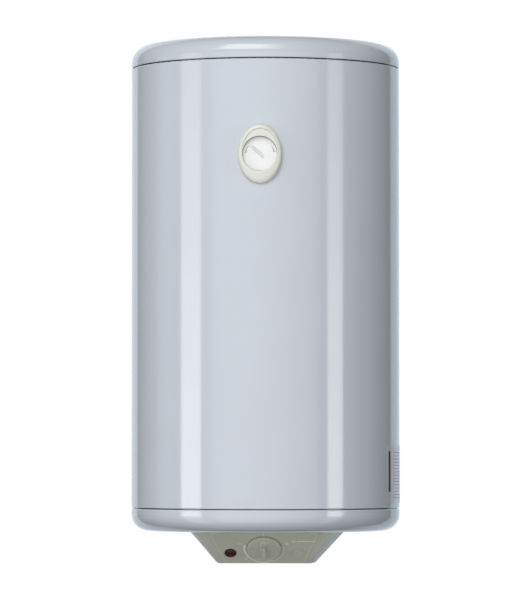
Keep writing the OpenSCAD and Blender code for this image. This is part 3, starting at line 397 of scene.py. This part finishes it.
# painted shadow: a dark film that stands in for the shadow in the gap under the knob's rim
KNOB_GAP_SHADOW = ink("knob_gap_shadow_colour", (0.16, 0.165, 0.13))
INK_BLACK = ink("ink_black", (0.035, 0.035, 0.04))
INK_RED = ink("ink_red", (0.55, 0.16, 0.10))
INK_DARK_RED = ink("ink_dark_red", (0.16, 0.05, 0.04))
INK_BLUSH = ink("ink_blush", (0.86, 0.70, 0.66))
# painted shade: the grey of the pointer's frame stands in for the shadow along its edges
POINTER_EDGE_SHADE = surface(
    "pointer_edge_painted_shade", (0.30, 0.305, 0.31), 0.4, metallic=0.3, mottle=0.05, mottle_size=3, grain=0.006,
    grain_size=0.4,
)
INK_MAROON = ink("ink_maroon", (0.40, 0.27, 0.29))
SLOT_OF_NODE = {part["node"]: part["material_slot"] for part in frame["record"]["subparts"]}


# ---------------------------------------------------------------- pieces


def finish_piece(name, mesh, slot, material=None, body="heater", replaces=(), smooth=30.0):
    """Makes a piece of a mesh: finish, shading, the body it rides on and the node it stands for."""
    made = bpy.data.objects.new(name, mesh)
    bpy.context.scene.collection.objects.link(made)
    mesh.materials.clear()
    mesh.materials.append(material or MATERIALS[slot])
    mesh.shade_smooth()
    mesh.set_sharp_from_angle(angle=math.radians(smooth))
    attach(made, body)
    if replaces:
        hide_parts(*replaces)


def mesh_of(name, verts, faces):
    """A clean closed mesh with its faces turned outwards."""
    mesh = bpy.data.meshes.new(name)
    mesh.from_pydata([tuple(vert) for vert in verts], [], faces)
    clean = bmesh.new()
    clean.from_mesh(mesh)
    bmesh.ops.remove_doubles(clean, verts=clean.verts, dist=1e-7)
    bmesh.ops.recalc_face_normals(clean, faces=clean.faces)
    clean.to_mesh(mesh)
    clean.free()
    return mesh


def rings_mesh(name, rings, closed=False):
    """Joins rings of equal length with quads. A closed chain meets itself; an open one is capped."""
    count = len(rings[0])
    verts = [vert for ring in rings for vert in ring]
    faces = []
    last = len(rings) if closed else len(rings) - 1
    for row in range(last):
        here = row * count
        there = (row + 1) % len(rings) * count
        for k in range(count):
            step = (k + 1) % count
            faces.append((here + k, here + step, there + step, there + k))
    if not closed:
        faces.append(tuple(range(count)))
        faces.append(tuple(range((len(rings) - 1) * count, len(rings) * count)))
    return mesh_of(name, verts, faces)


def lathe_rings(place, profile, segments=96):
    """Rings of a turned shape. profile is (radius, height) pairs; place takes x, y and height."""
    return [
        [
            place(
                radius * math.cos(2 * math.pi * k / segments),
                radius * math.sin(2 * math.pi * k / segments),
                height,
            )
            for k in range(segments)
        ]
        for radius, height in profile
    ]


def joined(name, meshes):
    """Several meshes as one."""
    both = bmesh.new()
    for part in meshes:
        both.from_mesh(part)
    mesh = bpy.data.meshes.new(name)
    both.to_mesh(mesh)
    both.free()
    return mesh


def inset_outline(outline, inset):
    """Moves each point of a closed outline inwards by inset, along its corner's bisector."""
    count = len(outline)
    area = sum(
        outline[k][0] * outline[(k + 1) % count][1] - outline[(k + 1) % count][0] * outline[k][1]
        for k in range(count)
    )
    side = 1 if area > 0 else -1
    moved = []
    for k in range(count):
        here = Vector(outline[k])
        before = (here - Vector(outline[k - 1])).normalized()
        after = (Vector(outline[(k + 1) % count]) - here).normalized()
        normal = Vector((-before.y - after.y, before.x + after.x)) * side
        normal.normalize()
        sharpness = max(0.35, normal.dot(Vector((-before.y, before.x)) * side))
        moved.append(here + normal * inset / sharpness)
    return moved


def slab_mesh(name, place, outline, steps):
    """A flat body of any outline. steps are (inset, height) pairs from its underside to its top."""
    rings = []
    for inset, height in steps:
        rings.append([place(point[0], point[1], height) for point in inset_outline(outline, inset)])
    return rings_mesh(name, rings)


def arc_outline(radius, start, end, start_width, end_width, steps=40):
    """Outline of an arc band about the origin, in degrees, whose width may taper."""
    outer, inner = [], []
    for k in range(steps + 1):
        share = k / steps
        angle = math.radians(start + (end - start) * share)
        half = (start_width + (end_width - start_width) * share) / 2
        outer.append(((radius + half) * math.cos(angle), (radius + half) * math.sin(angle)))
        inner.append(((radius - half) * math.cos(angle), (radius - half) * math.sin(angle)))
    return outer + inner[::-1]


def line_outline(points, width):
    """Outline of a line of constant width through the points."""
    left, right = [], []
    for k, point in enumerate(points):
        here = Vector(point)
        ahead = (Vector(points[min(k + 1, len(points) - 1)]) - Vector(points[max(k - 1, 0)])).normalized()
        normal = Vector((-ahead.y, ahead.x)) * width / 2
        left.append(tuple(here + normal))
        right.append(tuple(here - normal))
    return left + right[::-1]


def circle_outline(x, y, radius, steps=32):
    angles = [2 * math.pi * k / steps for k in range(steps)]
    return [(x + radius * math.cos(angle), y + radius * math.sin(angle)) for angle in angles]


def bevelled_copy(name, node, width, least_edge, segments=3):
    """A CAD node with its long sharp edges rounded, as its real sheet or moulding has them."""
    work = bmesh.new()
    work.from_mesh(nodes[node].data)
    bmesh.ops.remove_doubles(work, verts=work.verts, dist=2e-6)
    bmesh.ops.dissolve_limit(
        work, angle_limit=math.radians(0.4), verts=work.verts, edges=work.edges, delimit={"NORMAL"}
    )
    sharp = [
        edge
        for edge in work.edges
        if len(edge.link_faces) == 2
        and edge.calc_face_angle(0) > math.radians(25)
        and edge.calc_length() > least_edge * MM
        and min(face.calc_area() for face in edge.link_faces) > 1.6 * width * MM * edge.calc_length()
    ]
    bmesh.ops.bevel(
        work, geom=sharp, offset=width * MM, segments=segments, profile=0.5, affect="EDGES",
        clamp_overlap=False,
    )
    bmesh.ops.recalc_face_normals(work, faces=work.faces)
    mesh = bpy.data.meshes.new(name)
    work.to_mesh(mesh)
    work.free()
    finish_piece(name, mesh, SLOT_OF_NODE[node], replaces=(node,), smooth=28)


# ---------------------------------------------------------------- carried-over CAD nodes

for node_name, node_object in nodes.items():
    node_object.data.materials.clear()
    node_object.data.materials.append(MATERIALS[SLOT_OF_NODE[node_name]])


# ---------------------------------------------------------------- thermometer

BEZEL_STEPS = 160
BACK_GAP = 0.12  # how far the bezel's back stands off the casing
RIM_W = 6.9  # width of the rim that its profile is drawn for
LENS_LIP = 0.08  # gap between the lens and the bezel's opening
LENS_LIP_GROWTH = 0.42  # how much wider the gap is at the top, where the dark ring under it shows through as painted shade
SHELF_H = 42.2  # top of the shelf above the dial's centre
SHELF_DROP = 1.5  # how far the shelf is set back from the rim's crest
NEEDLE_REACH = 21.0
NEEDLE_TAIL = 7.0  # straight part behind the centre


def build_bezel():
    """Oval bezel: a convex rim, a shelf set back above the dial, and the opening for the lens."""
    low, high = dial.extent("thermometer_bezel")
    half_w = high.x
    half_h = high.y
    crest = high.z
    lens_r = dial.extent("thermometer_lens")[1].x
    rim = [(0.0, None), (0.05, -6.6), (0.35, -4.9), (1.2, -3.1), (2.6, -1.75), (4.4, -0.85), (6.2, -0.3)]
    edge = lens_r + 1.3
    rings = [[] for _ in range(len(rim) + 7)]
    for k in range(BEZEL_STEPS):
        angle = 2 * math.pi * k / BEZEL_STEPS
        c, s = math.cos(angle), math.sin(angle)
        rim_r = half_w * half_h / math.hypot(half_h * c, half_w * s)
        shelf_r = edge * SHELF_H / math.hypot(SHELF_H * c, edge * s) if s > 0 else edge
        drop = SHELF_DROP * min(1.0, max(0.0, s) * 2.2)
        opening = lens_r + LENS_LIP + LENS_LIP_GROWTH * math.sqrt(max(0.0, s))
        band = rim_r - shelf_r
        for row, (inset, height) in enumerate(rim):
            radius = rim_r - inset * band / RIM_W
            x, y = radius * c, radius * s
            if height is None:
                reach = CASING_R / MM + BACK_GAP
                back = math.sqrt(reach * reach - x * x) - (AXIS_Y - dial.origin.y) / MM
                place = dial.at(x, y, back)
            else:
                place = dial.at(x, y, crest + height)
            rings[row].append(place)
        inner = [
            (shelf_r + 0.15, crest - 0.02),
            (shelf_r - 0.25, crest - 0.12 - drop * 0.55),
            (shelf_r - 0.5, crest - 0.25 - drop),
            (max(opening + 0.35, shelf_r - 0.8), crest - 0.3 - drop),
            (opening + 0.3, crest - 0.5 - drop * 0.35),
            (opening, crest - 0.8 - drop * 0.35),
            (opening, low.z + 1.2),
        ]
        for row, (radius, height) in enumerate(inner):
            rings[len(rim) + row].append(dial.at(radius * c, radius * s, height))
    mesh = rings_mesh("thermometer_bezel_moulding", rings, closed=True)
    finish_piece(
        "thermometer_bezel_moulding", mesh, "white_plastic", replaces=("thermometer_bezel",), smooth=24
    )


def build_gap_shade_ring():
    """Dark rubber ring under the lens's edge, put there as painted shade: it shows as a dark line, like a shadow
    gap, where the opening is wider, at the top.
    """
    low, high = dial.extent("thermometer_lens")
    r = high.x
    inner, outer = r - 0.35, r + 0.55
    ring = [(inner, low.z - 0.9), (outer, low.z - 0.9), (outer, low.z - 0.05), (inner, low.z - 0.05)]
    mesh = rings_mesh("thermometer_gap_shade_ring", lathe_rings(dial.at, ring, 96), closed=True)
    finish_piece("thermometer_gap_shade_ring", mesh, "gasket_rubber")


def build_lens():
    """Clear lens with a bevelled rim and a very slight crown."""
    low, high = dial.extent("thermometer_lens")
    r, base, top = high.x, low.z, high.z
    profile = [(r - 0.3, base), (r, base + 0.25), (r, top - 0.55), (r - 0.35, top - 0.3)]
    profile += [(r * share, top - 0.28 * share * share) for share in (0.95, 0.8, 0.6, 0.4, 0.2, 0.02)]
    mesh = rings_mesh("thermometer_window", lathe_rings(dial.at, profile, 96))
    finish_piece("thermometer_window", mesh, "clear_lens", replaces=("thermometer_lens",))


def build_needle():
    """Flat pointer at its rest angle: a pale face on a darker frame, whose grey edge is painted shade along the
    pointer's sides, with a rounded tail and a shaft.
    """
    needle_low, needle_high = dial.extent("thermometer_needle")
    tip = Vector((needle_low.x, needle_high.y))
    turn = math.atan2(tip.y, tip.x)
    reach = NEEDLE_REACH
    low = 1.2

    def place(x, y, out):
        return dial.at(
            x * math.cos(turn) - y * math.sin(turn), x * math.sin(turn) + y * math.cos(turn), out
        )

    def blade_outline(half):
        turns = [math.radians(a) for a in range(15, 180, 15)]
        tail = [(-NEEDLE_TAIL - half * math.sin(a), half * math.cos(a)) for a in turns]
        side = [(reach - 1.0, 0.35 * half), (reach - 6.0, 0.82 * half), (5.0, half), (-NEEDLE_TAIL, half)]
        return [(reach, 0.0)] + side + tail + [(x, -y) for x, y in side[::-1]]

    frame_steps = [(0.1, low), (0.0, low + 0.08), (0.0, 1.5), (0.1, 1.56)]
    frame_mesh = slab_mesh("blade_frame", place, blade_outline(1.9), frame_steps)
    shaft_profile = [(0.9, needle_low.z), (1.0, needle_low.z + 0.1), (1.0, low)]
    shaft = rings_mesh("shaft", lathe_rings(dial.at, shaft_profile, 24))
    mesh = joined("thermometer_pointer", [frame_mesh, shaft])
    finish_piece(
        "thermometer_pointer", mesh, "needle_metal", POINTER_EDGE_SHADE, body="needle",
        replaces=("thermometer_needle",),
    )
    face = slab_mesh("pointer_face", place, blade_outline(1.5), [(0.0, 1.5), (0.0, 1.62), (0.15, 1.7)])
    finish_piece("pointer_face", face, "needle_metal", body="needle")


def build_dial_marks():
    """Printed zone marks of the dial: cold on the left, hot on the right, and a pale arc between."""
    steps = [(0.0, -0.02), (0.0, 0.05)]
    ring = 23.0
    end_ring = 24.1  # middle of the short radial end ticks

    def printed(name, outlines, material):
        parts = [slab_mesh("mark", dial.at, outline, steps) for outline in outlines]
        finish_piece(name, joined(name, parts), "dial_print", material)

    cold = [arc_outline(ring, 147, 175, 0.7, 1.1, 14), arc_outline(end_ring, 173.4, 175.4, 2.8, 2.8, 3)]
    hot = [arc_outline(ring, 33, 19, 0.8, 1.2, 10), arc_outline(end_ring, 9.2, 7.2, 2.8, 2.8, 3)]
    dark = [arc_outline(ring, 19, 6, 1.3, 1.1, 8)]
    printed("dial_cold_mark", cold, INK_BLACK)
    printed("dial_hot_mark", hot, INK_RED)
    printed("dial_limit_mark", dark, INK_DARK_RED)
    printed("dial_warm_arc", [arc_outline(ring, 118, 33, 0.25, 0.8, 40)], INK_BLUSH)


build_bezel()
build_gap_shade_ring()
build_lens()
build_needle()
build_dial_marks()


# ---------------------------------------------------------------- control housing

bevelled_copy("control_housing", "terminal_cover", 0.9, 18)
bevelled_copy("control_face", "fascia_plate", 0.5, 40)
foil_low, foil_high = panel.extent("fascia_foil")
FOIL_TOP = foil_high.z
PRINT_T = 0.035
SCALE_R = 33.4  # middle of the temperature scale, from the knob's axis
SIGN_Y = 10.6  # height of the plus and minus signs above the knob's axis


def foil_film(name, outlines, material):
    """A film of ink that stands a little proud of the foil: print, and for the knob's gap and the foil's edges
    painted shadow and painted highlight.
    """
    steps = [(0.0, FOIL_TOP - 0.02), (0.0, FOIL_TOP + PRINT_T)]
    parts = [slab_mesh("print", panel.at, outline, steps) for outline in outlines]
    finish_piece(name, joined(name, parts), "foil_print", material)


def build_scale():
    """Temperature scale round the knob: a band that thins out clockwise, its end marks, and a dark arc over the
    knob's upper rim that is painted shadow of the gap under it.
    """
    line = 1.0
    band = [
        arc_outline(SCALE_R, 166, 262, 3.0, 1.5, 60),
        arc_outline(SCALE_R, 262, 330, 1.5, 0.9, 40),
    ]
    dashes = [arc_outline(SCALE_R, a, a + 5.5, line, line, 4) for a in (333, 341.5, 350, 358.5)]
    ticks = [
        line_outline([(-43.5, SIGN_Y), (-35.6, SIGN_Y)], line),
        line_outline([(34.4, SIGN_Y), (42.5, SIGN_Y)], line),
        line_outline([(38.4, SIGN_Y + 3.0), (38.4, SIGN_Y - 3.0)], line),
        line_outline([(-33.5, -24.0), (-25.8, -19.8)], 1.1),
    ]
    dots = [circle_outline(0, 32.9, 1.15), circle_outline(-31.5, -26.8, 1.2)]
    foil_film("scale_print", band + dashes + ticks + dots, INK_WHITE)
    # painted shadow: a dark arc over the knob's upper rim, where the gap under the knob is in shade
    foil_film("knob_gap_painted_shadow", [arc_outline(29.3, 8, 172, 0.6, 0.6, 60)], KNOB_GAP_SHADOW)


def build_foil_edge_highlights():
    """Thin pale lines along the foil's sides, with their rounded upper corners: painted highlight that stands in
    for the light caught by the foil's edge.
    """
    top, low = foil_high.y - 2.0, foil_low.y + 0.8
    upper, lower = foil_high.x - 1.6, 65.6
    corner = 5.0
    lean = (upper - lower) / (top - low)
    for side, name in ((-1, "foil_edge_highlight_left"), (1, "foil_edge_highlight_right")):
        points = [(side * lower, low), (side * (upper - corner * lean), top - corner)]
        for a in range(15, 91, 15):
            turn = math.radians(a)
            across = upper - corner * lean - corner * (1 - math.cos(turn))
            points.append((side * across, top - corner * (1 - math.sin(turn))))
        points.append((side * (upper - corner - 8), top))
        # painted highlight: pale lines where the foil's edges catch the light
        foil_film(name, [line_outline(points, 0.55)], PALE_INK_AND_HIGHLIGHT)


def build_plain_mark():
    """A plain ring and bar where such panels carry a maker's sign: it says nothing."""
    mark_x, mark_y = 50.0, 16.6
    ring = [(mark_x + x, mark_y + y) for x, y in arc_outline(2.3, 0, 345, 1.0, 1.0, 30)]
    bar = line_outline([(mark_x + 6.0, mark_y), (mark_x + 36.0, mark_y)], 1.4)
    foil_film("plain_mark", [ring, bar], PALE_INK_AND_HIGHLIGHT)


def build_knob():
    """Knob: a shallow bevelled disc and a waisted finger bar that flares into it."""
    low, high = panel.extent("thermostat_knob")
    r = high.x
    top = high.z
    disc_low, disc_top = 0.8, 4.8
    hub_r, bore_r = 7.0, 3.05
    grip_half_l, grip_half_w = 16.2, 4.9
    roundness = 0.62  # exponent of the bar's outline: 1 is an ellipse, less is squarer
    disc = [
        (bore_r, low.z), (hub_r - 0.3, low.z), (hub_r, low.z + 0.3), (hub_r, 1.6), (r - 1.6, 1.6),
        (r - 1.6, disc_low), (r - 0.25, disc_low), (r, disc_low + 0.25), (r, disc_top - 1.5),
        (r - 0.15, disc_top - 0.9), (r - 0.65, disc_top - 0.35), (r - 1.4, disc_top - 0.06),
        (r - 2.2, disc_top), (r - 3.2, disc_top - 0.12), (r - 4.2, disc_top - 0.5),
        (r - 6.0, disc_top - 0.62), (bore_r, disc_top - 0.62),
    ]
    disc_mesh = rings_mesh("disc", lathe_rings(panel.at, disc, 128), closed=True)
    base = disc_top - 0.9
    heights = [base + rise for rise in (0.0, 0.45, 0.9, 1.5, 2.4, 4.5)]
    heights += [top - drop for drop in (3.0, 1.2, 0.5, 0.12, 0.0)]
    count = 72
    rings = []
    for height in heights:
        share = (height - base) / (top - base)
        flare = 2.4 * math.exp(-(height - base) / 1.1)
        crown = max(0.0, (height - (top - 1.2)) / 1.2)
        narrow = 1.15 * crown * crown
        half_w = grip_half_w - 0.8 * share + flare - narrow
        half_l = grip_half_l - 1.4 * share + 0.8 * flare - narrow
        ring = []
        for k in range(count):
            angle = 2 * math.pi * k / count
            c, s = math.cos(angle), math.sin(angle)
            y = half_l * math.copysign(abs(s) ** roundness, s)
            waist = 1.0 - 0.10 * math.cos(math.pi * y / half_l * 0.5) ** 2
            tail = 1.0 + 0.30 * max(0.0, -y / half_l) ** 3
            x = half_w * waist * tail * math.copysign(abs(c) ** roundness, c)
            ring.append(panel.at(x, y, height))
        rings.append(ring)
    grip = rings_mesh("grip", rings)
    mesh = joined("knob_moulding", [disc_mesh, grip])
    finish_piece(
        "knob_moulding", mesh, "fascia_plastic", body="knob", replaces=("thermostat_knob",), smooth=35
    )


def build_lamp():
    """Pilot lens: a dark red window with fine concentric ridges in a black ring."""
    low, high = panel.extent("pilot_lens")
    x, y = (low.x + high.x) / 2, (low.y + high.y) / 2
    r, top = (high.x - low.x) / 2, high.z

    def place(px, py, out):
        return panel.at(x + px, y + py, out)

    window_r = r - 1.0
    profile = [(r - 1.7, low.z), (r - 1.55, low.z + 0.2), (r - 1.55, 0.9)]
    ridges = 9
    for k in range(ridges):
        outer = window_r * (1 - k / ridges)
        crown = 0.9 + (top - 0.95) * (1 - (outer / window_r) ** 2)
        profile += [(outer - 0.12, crown + 0.12), (outer - 0.5, crown + 0.16), (outer - 0.85, crown)]
    profile = [(max(radius, 0.02), min(height, top)) for radius, height in profile]
    lens = rings_mesh("pilot_window", lathe_rings(place, profile, 72))
    finish_piece("pilot_window", lens, "lens_red", replaces=("pilot_lens",), smooth=40)
    ring = [(window_r + 0.03, 0.1), (r - 0.05, 0.1), (r, 0.2), (r - 0.05, 0.7), (r - 0.4, 1.1)]
    ring += [(window_r + 0.25, 1.15), (window_r + 0.03, 0.95)]
    collar = rings_mesh("pilot_collar", lathe_rings(place, ring, 72), closed=True)
    finish_piece("pilot_collar", collar, "black_plastic", smooth=40)


def build_plug():
    """Blanking plug: a flush disc with a rounded rim and a shallow groove near its edge."""
    low, high = panel.extent("blanking_plug")
    x, y = (low.x + high.x) / 2, (low.y + high.y) / 2
    r, top = (high.x - low.x) / 2, high.z

    def place(px, py, out):
        return panel.at(x + px, y + py, out)

    inner = r - 1.6
    profile = [
        (inner - 1.4, low.z), (inner, low.z), (inner, 0.05), (r - 0.1, 0.05), (r, 0.15),
        (r - 0.05, top - 0.2), (r - 0.3, top), (r - 1.0, top), (r - 1.15, top - 0.3),
        (r - 1.45, top - 0.3), (inner, top), (r * 0.5, top), (0.02, top - 0.02), (0.02, top - 1.2),
        (inner - 1.4, top - 1.2),
    ]
    mesh = rings_mesh("plug_moulding", lathe_rings(place, profile, 72), closed=True)
    finish_piece("plug_moulding", mesh, "fascia_plastic", replaces=("blanking_plug",), smooth=30)


build_scale()
build_foil_edge_highlights()
build_plain_mark()
build_knob()
build_lamp()
build_plug()


# ---------------------------------------------------------------- water connections

THREAD_PITCH = 1.814  # British standard pipe, half an inch, 14 threads to the inch
THREAD_DEPTH = 1.162
THREAD_L = 20.0


def build_nipple(name, node, crest_r):
    """Connection stub with a real helical pipe thread, a chamfered mouth and its bore."""
    low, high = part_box(node)
    centre_x, centre_y = (low.x + high.x) / 2, (low.y + high.y) / 2
    tube_r = (high.x - low.x) / 2 / MM
    bore_r = 7.5
    height = (high.z - low.z) / MM
    segments, per_turn = 64, 10

    def ring(radius_at, h):
        made = []
        for k in range(segments):
            angle = 2 * math.pi * k / segments
            radius = radius_at(angle, h) * MM
            x = centre_x + radius * math.cos(angle)
            y = centre_y + radius * math.sin(angle)
            made.append(Vector((x, y, low.z + h * MM)))
        return made

    def thread_r(angle, h):
        turn = (h / THREAD_PITCH - angle / (2 * math.pi)) % 1.0
        ridge = 1.0 - abs(2 * turn - 1.0)
        ridge = min(1.0, max(0.0, (ridge - 0.12) / 0.76))
        lead = min(1.0, h / 1.4, max(0.0, (THREAD_L - 1.2 - h) / 1.2))
        return crest_r - THREAD_DEPTH + THREAD_DEPTH * ridge * lead

    rings = [ring(lambda a, h: bore_r + 0.6, 0.0)]
    rows = int(THREAD_L / THREAD_PITCH * per_turn)
    rings += [ring(thread_r, THREAD_L * row / rows) for row in range(rows + 1)]
    plain = [(tube_r - 0.2, THREAD_L), (tube_r, THREAD_L + 0.3), (tube_r, height), (bore_r, height)]
    for radius, h in plain + [(bore_r, 0.6)]:
        rings.append(ring(lambda a, hh, value=radius: value, h))
    mesh = rings_mesh(name, rings, closed=True)
    finish_piece(name, mesh, "zinc_steel", replaces=(node,), smooth=50)


inlet = [m for m in frame["record"]["mounts"] if m["name"] == "cold_inlet"][0]
build_nipple("cold_nipple_threaded", "cold_inlet_nipple", inlet["dims"]["r_mm"])
build_nipple("hot_nipple_threaded", "hot_outlet_nipple", inlet["dims"]["r_mm"])


# ---------------------------------------------------------------- brackets and label

bevelled_copy("bracket_upper_sheet", "wall_bracket_upper", 0.5, 20, segments=2)
bevelled_copy("bracket_lower_sheet", "wall_bracket_lower", 0.5, 20, segments=2)


def casing_patch(start, end, low, high, base, top, steps):
    """A thin body bent round the casing: turn in degrees, heights in metres, base and top in mm."""
    rings = []
    for k in range(steps + 1):
        turn = start + (end - start) * k / steps
        rings.append(
            [
                on_casing(turn, low, base),
                on_casing(turn, high, base),
                on_casing(turn, high, top),
                on_casing(turn, low, top),
            ]
        )
    return rings_mesh("patch", rings)


def build_label():
    """Print of the rating label: plain bars stand for its lettering, which says nothing."""
    label_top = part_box("rating_label")[1].z
    start = 66.0
    rows_start = start + 7.0
    rows, row_pitch, row_h = 15, 0.0054, 0.0011
    face = 0.27
    top = face + 0.03
    bars = [casing_patch(start + 1.2, start + 3.3, label_top - 0.078, label_top - 0.010, face, top, 4)]
    lengths = (17.0, 12.5, 19.5, 15.0, 21.0, 11.0, 18.0)
    texts = []
    for row in range(rows):
        z = label_top - 0.012 - row * row_pitch
        length = lengths[row % len(lengths)]
        texts.append(casing_patch(rows_start, rows_start + length, z - row_h, z, face, top, 10))
    finish_piece("label_bar_print", joined("label_bar_print", bars), "label_print", INK_BLACK)
    finish_piece("label_text_print", joined("label_text_print", texts), "label_print", INK_MAROON)


build_label()


# ---------------------------------------------------------------- studio

CAMERA_AT = Vector((0.2811, -7.2324, -0.2685))
CAMERA_AIM = Vector((0.0, -0.235, -0.0197))
CAMERA_LENS = 247.7

# Soft boxes and bounce cards round the object. Azimuths run from the camera's side and elevations
# from the horizon, in degrees: (from, to, softness at the start, softness at the end). LIGHTS pairs
# them and gives each pair its brightness.
LEFT_STRIP = (-77.0, -57.0, 1.6, 1.6)
RIGHT_STRIP = (54.5, 69.5, 1.6, 1.6)
FRONT_CARD = (-46.0, 46.0, 12.0, 12.0)
FRONT_LEFT_CARD = (-44.0, 8.0, 12.0, 34.0)
SIDE_GLOW = (-106.0, -88.0, 6.0, 4.0)
BACK_LEFT_WALL = (-220.0, -144.0, 5.0, 4.0)
BACK_RIGHT_WALL = (136.5, 220.0, 2.0, 5.0)
ALL_ROUND = (-400.0, 400.0, 1.0, 1.0)
LOW = (-48.0, -10.0, 10.0, 8.0)
MIDDLE = (-10.0, 10.0, 8.0, 8.0)
FALLING = (-10.0, 4.2, 8.0, 12.0)
HIGH = (24.0, 58.0, 6.0, 6.0)
WALL = (-44.0, 44.0, 14.0, 14.0)
ZENITH = (55.0, 120.0, 30.0, 1.0)
UNDERSIDE = (-120.0, -62.0, 1.0, 24.0)
LIGHTS = (
    (LEFT_STRIP, LOW, 1.6),
    (LEFT_STRIP, FALLING, 5.9),
    (RIGHT_STRIP, LOW, 1.4),
    (RIGHT_STRIP, FALLING, 6.2),
    (FRONT_CARD, LOW, 0.74),
    (FRONT_CARD, MIDDLE, 0.8),
    (FRONT_LEFT_CARD, LOW, 0.57),
    (FRONT_LEFT_CARD, MIDDLE, 0.2),
    (FRONT_LEFT_CARD, HIGH, 5.3),
    (SIDE_GLOW, MIDDLE, 0.4),
    (BACK_LEFT_WALL, WALL, 1.0),
    (BACK_RIGHT_WALL, WALL, 1.0),
    (ALL_ROUND, ZENITH, 0.05),
    (ALL_ROUND, UNDERSIDE, 0.12),
)


def window(tree, value, start, end, rise, fall):
    """One between start and end, with smooth sides."""
    sides = []
    for edge, soft, before, after in ((start, rise, 0.0, 1.0), (end, fall, 1.0, 0.0)):
        settings = {
            "Value": value,
            "From Min": edge - soft / 2,
            "From Max": edge + soft / 2,
            "To Min": before,
            "To Max": after,
        }
        made = add_node(tree, "ShaderNodeMapRange", settings, interpolation_type="SMOOTHSTEP")
        sides.append(made.outputs["Result"])
    return multiply(tree, sides[0], sides[1])


def build_world():
    """White for the camera, and a studio of soft boxes, flags and bounce cards for the surfaces."""
    world = bpy.data.worlds.new("studio")
    bpy.context.scene.world = world
    world.use_nodes = True
    tree = world.node_tree
    tree.nodes.clear()
    place = add_node(tree, "ShaderNodeTexCoord")
    split = add_node(tree, "ShaderNodeSeparateXYZ", {"Vector": place.outputs["Generated"]})
    x, y, z = (split.outputs[name] for name in ("X", "Y", "Z"))
    level = compute(tree, "SQRT", compute(tree, "ADD", multiply(tree, x, x), multiply(tree, y, y)))
    to_degrees = 180 / math.pi
    towards = CAMERA_AT - CAMERA_AIM
    camera_turn = math.degrees(math.atan2(towards.x, -towards.y))
    turn = multiply(tree, compute(tree, "ARCTAN2", x, multiply(tree, y, -1.0)), to_degrees)
    turn = compute(tree, "SUBTRACT", turn, camera_turn)
    lift = multiply(tree, compute(tree, "ARCTAN2", z, level), to_degrees)
    total = 0.0
    for azimuths, elevations, radiance in LIGHTS:
        card = multiply(tree, window(tree, turn, *azimuths), window(tree, lift, *elevations))
        total = compute(tree, "ADD", multiply(tree, card, radiance), total)
    # the light from behind the object is a little bluer
    behind = spread(tree, compute(tree, "ABSOLUTE", turn), 0.0, 1.0, 78.0, 108.0)
    tint = blend_colours(tree, behind, (1.0, 1.0, 1.0, 1.0), (0.87, 1.0, 1.12, 1.0))
    studio = add_node(tree, "ShaderNodeBackground", {"Strength": total, "Color": tint})
    white = add_node(tree, "ShaderNodeBackground", {"Strength": 1.0, "Color": (1.0, 1.0, 1.0, 1.0)})
    rays = add_node(tree, "ShaderNodeLightPath")
    mix = add_node(
        tree,
        "ShaderNodeMixShader",
        {0: rays.outputs["Is Camera Ray"], 1: studio.outputs[0], 2: white.outputs[0]},
    )
    add_node(tree, "ShaderNodeOutputWorld", {"Surface": mix.outputs[0]})


def build_floor():
    """A plain pale floor under the hanging object. From below it is left out of the picture."""
    floor_z = cad_box[0].z - 0.75
    profile = [(0.02, 0.0), (0.8, 0.0), (1.8, 0.0), (2.6, 0.0), (3.0, -0.02)]

    def place(px, py, out):
        return Vector((px, AXIS_Y + py, floor_z + out))

    count = 96
    rings = lathe_rings(place, profile, count)
    verts = [vert for ring in rings for vert in ring]
    faces = [tuple(range(count))]
    for row in range(len(rings) - 1):
        here, there = row * count, (row + 1) * count
        for k in range(count):
            step = (k + 1) % count
            faces.append((here + k, here + step, there + step, there + k))
    mesh = mesh_of("studio_floor", verts, faces)
    floor = bpy.data.objects.new("studio_floor", mesh)
    bpy.context.scene.collection.objects.link(floor)
    material = surface("floor_paint", (0.95, 0.95, 0.95), 0.8, mottle=0.01, mottle_size=400)
    tree = material.node_tree
    shader = tree.nodes["Principled BSDF"]
    sides = add_node(tree, "ShaderNodeNewGeometry")
    clear = add_node(tree, "ShaderNodeBsdfTransparent")
    mix = add_node(
        tree,
        "ShaderNodeMixShader",
        {0: sides.outputs["Backfacing"], 1: shader.outputs[0], 2: clear.outputs[0]},
    )
    tree.links.new(mix.outputs[0], tree.nodes["Material Output"].inputs["Surface"])
    mesh.materials.append(material)
    for polygon in mesh.polygons:
        if polygon.normal.z < 0:
            polygon.flip()
    floor.visible_glossy = False
    floor.visible_diffuse = False


def build_camera():
    data = bpy.data.cameras.new("camera")
    data.lens = CAMERA_LENS
    data.clip_end = 100
    camera = bpy.data.objects.new("camera", data)
    bpy.context.scene.collection.objects.link(camera)
    camera.location = CAMERA_AT
    camera.rotation_euler = (CAMERA_AIM - CAMERA_AT).to_track_quat("-Z", "Y").to_euler()
    bpy.context.scene.camera = camera
    bpy.context.scene.view_settings.view_transform = "Standard"


build_world()
build_floor()
build_camera()
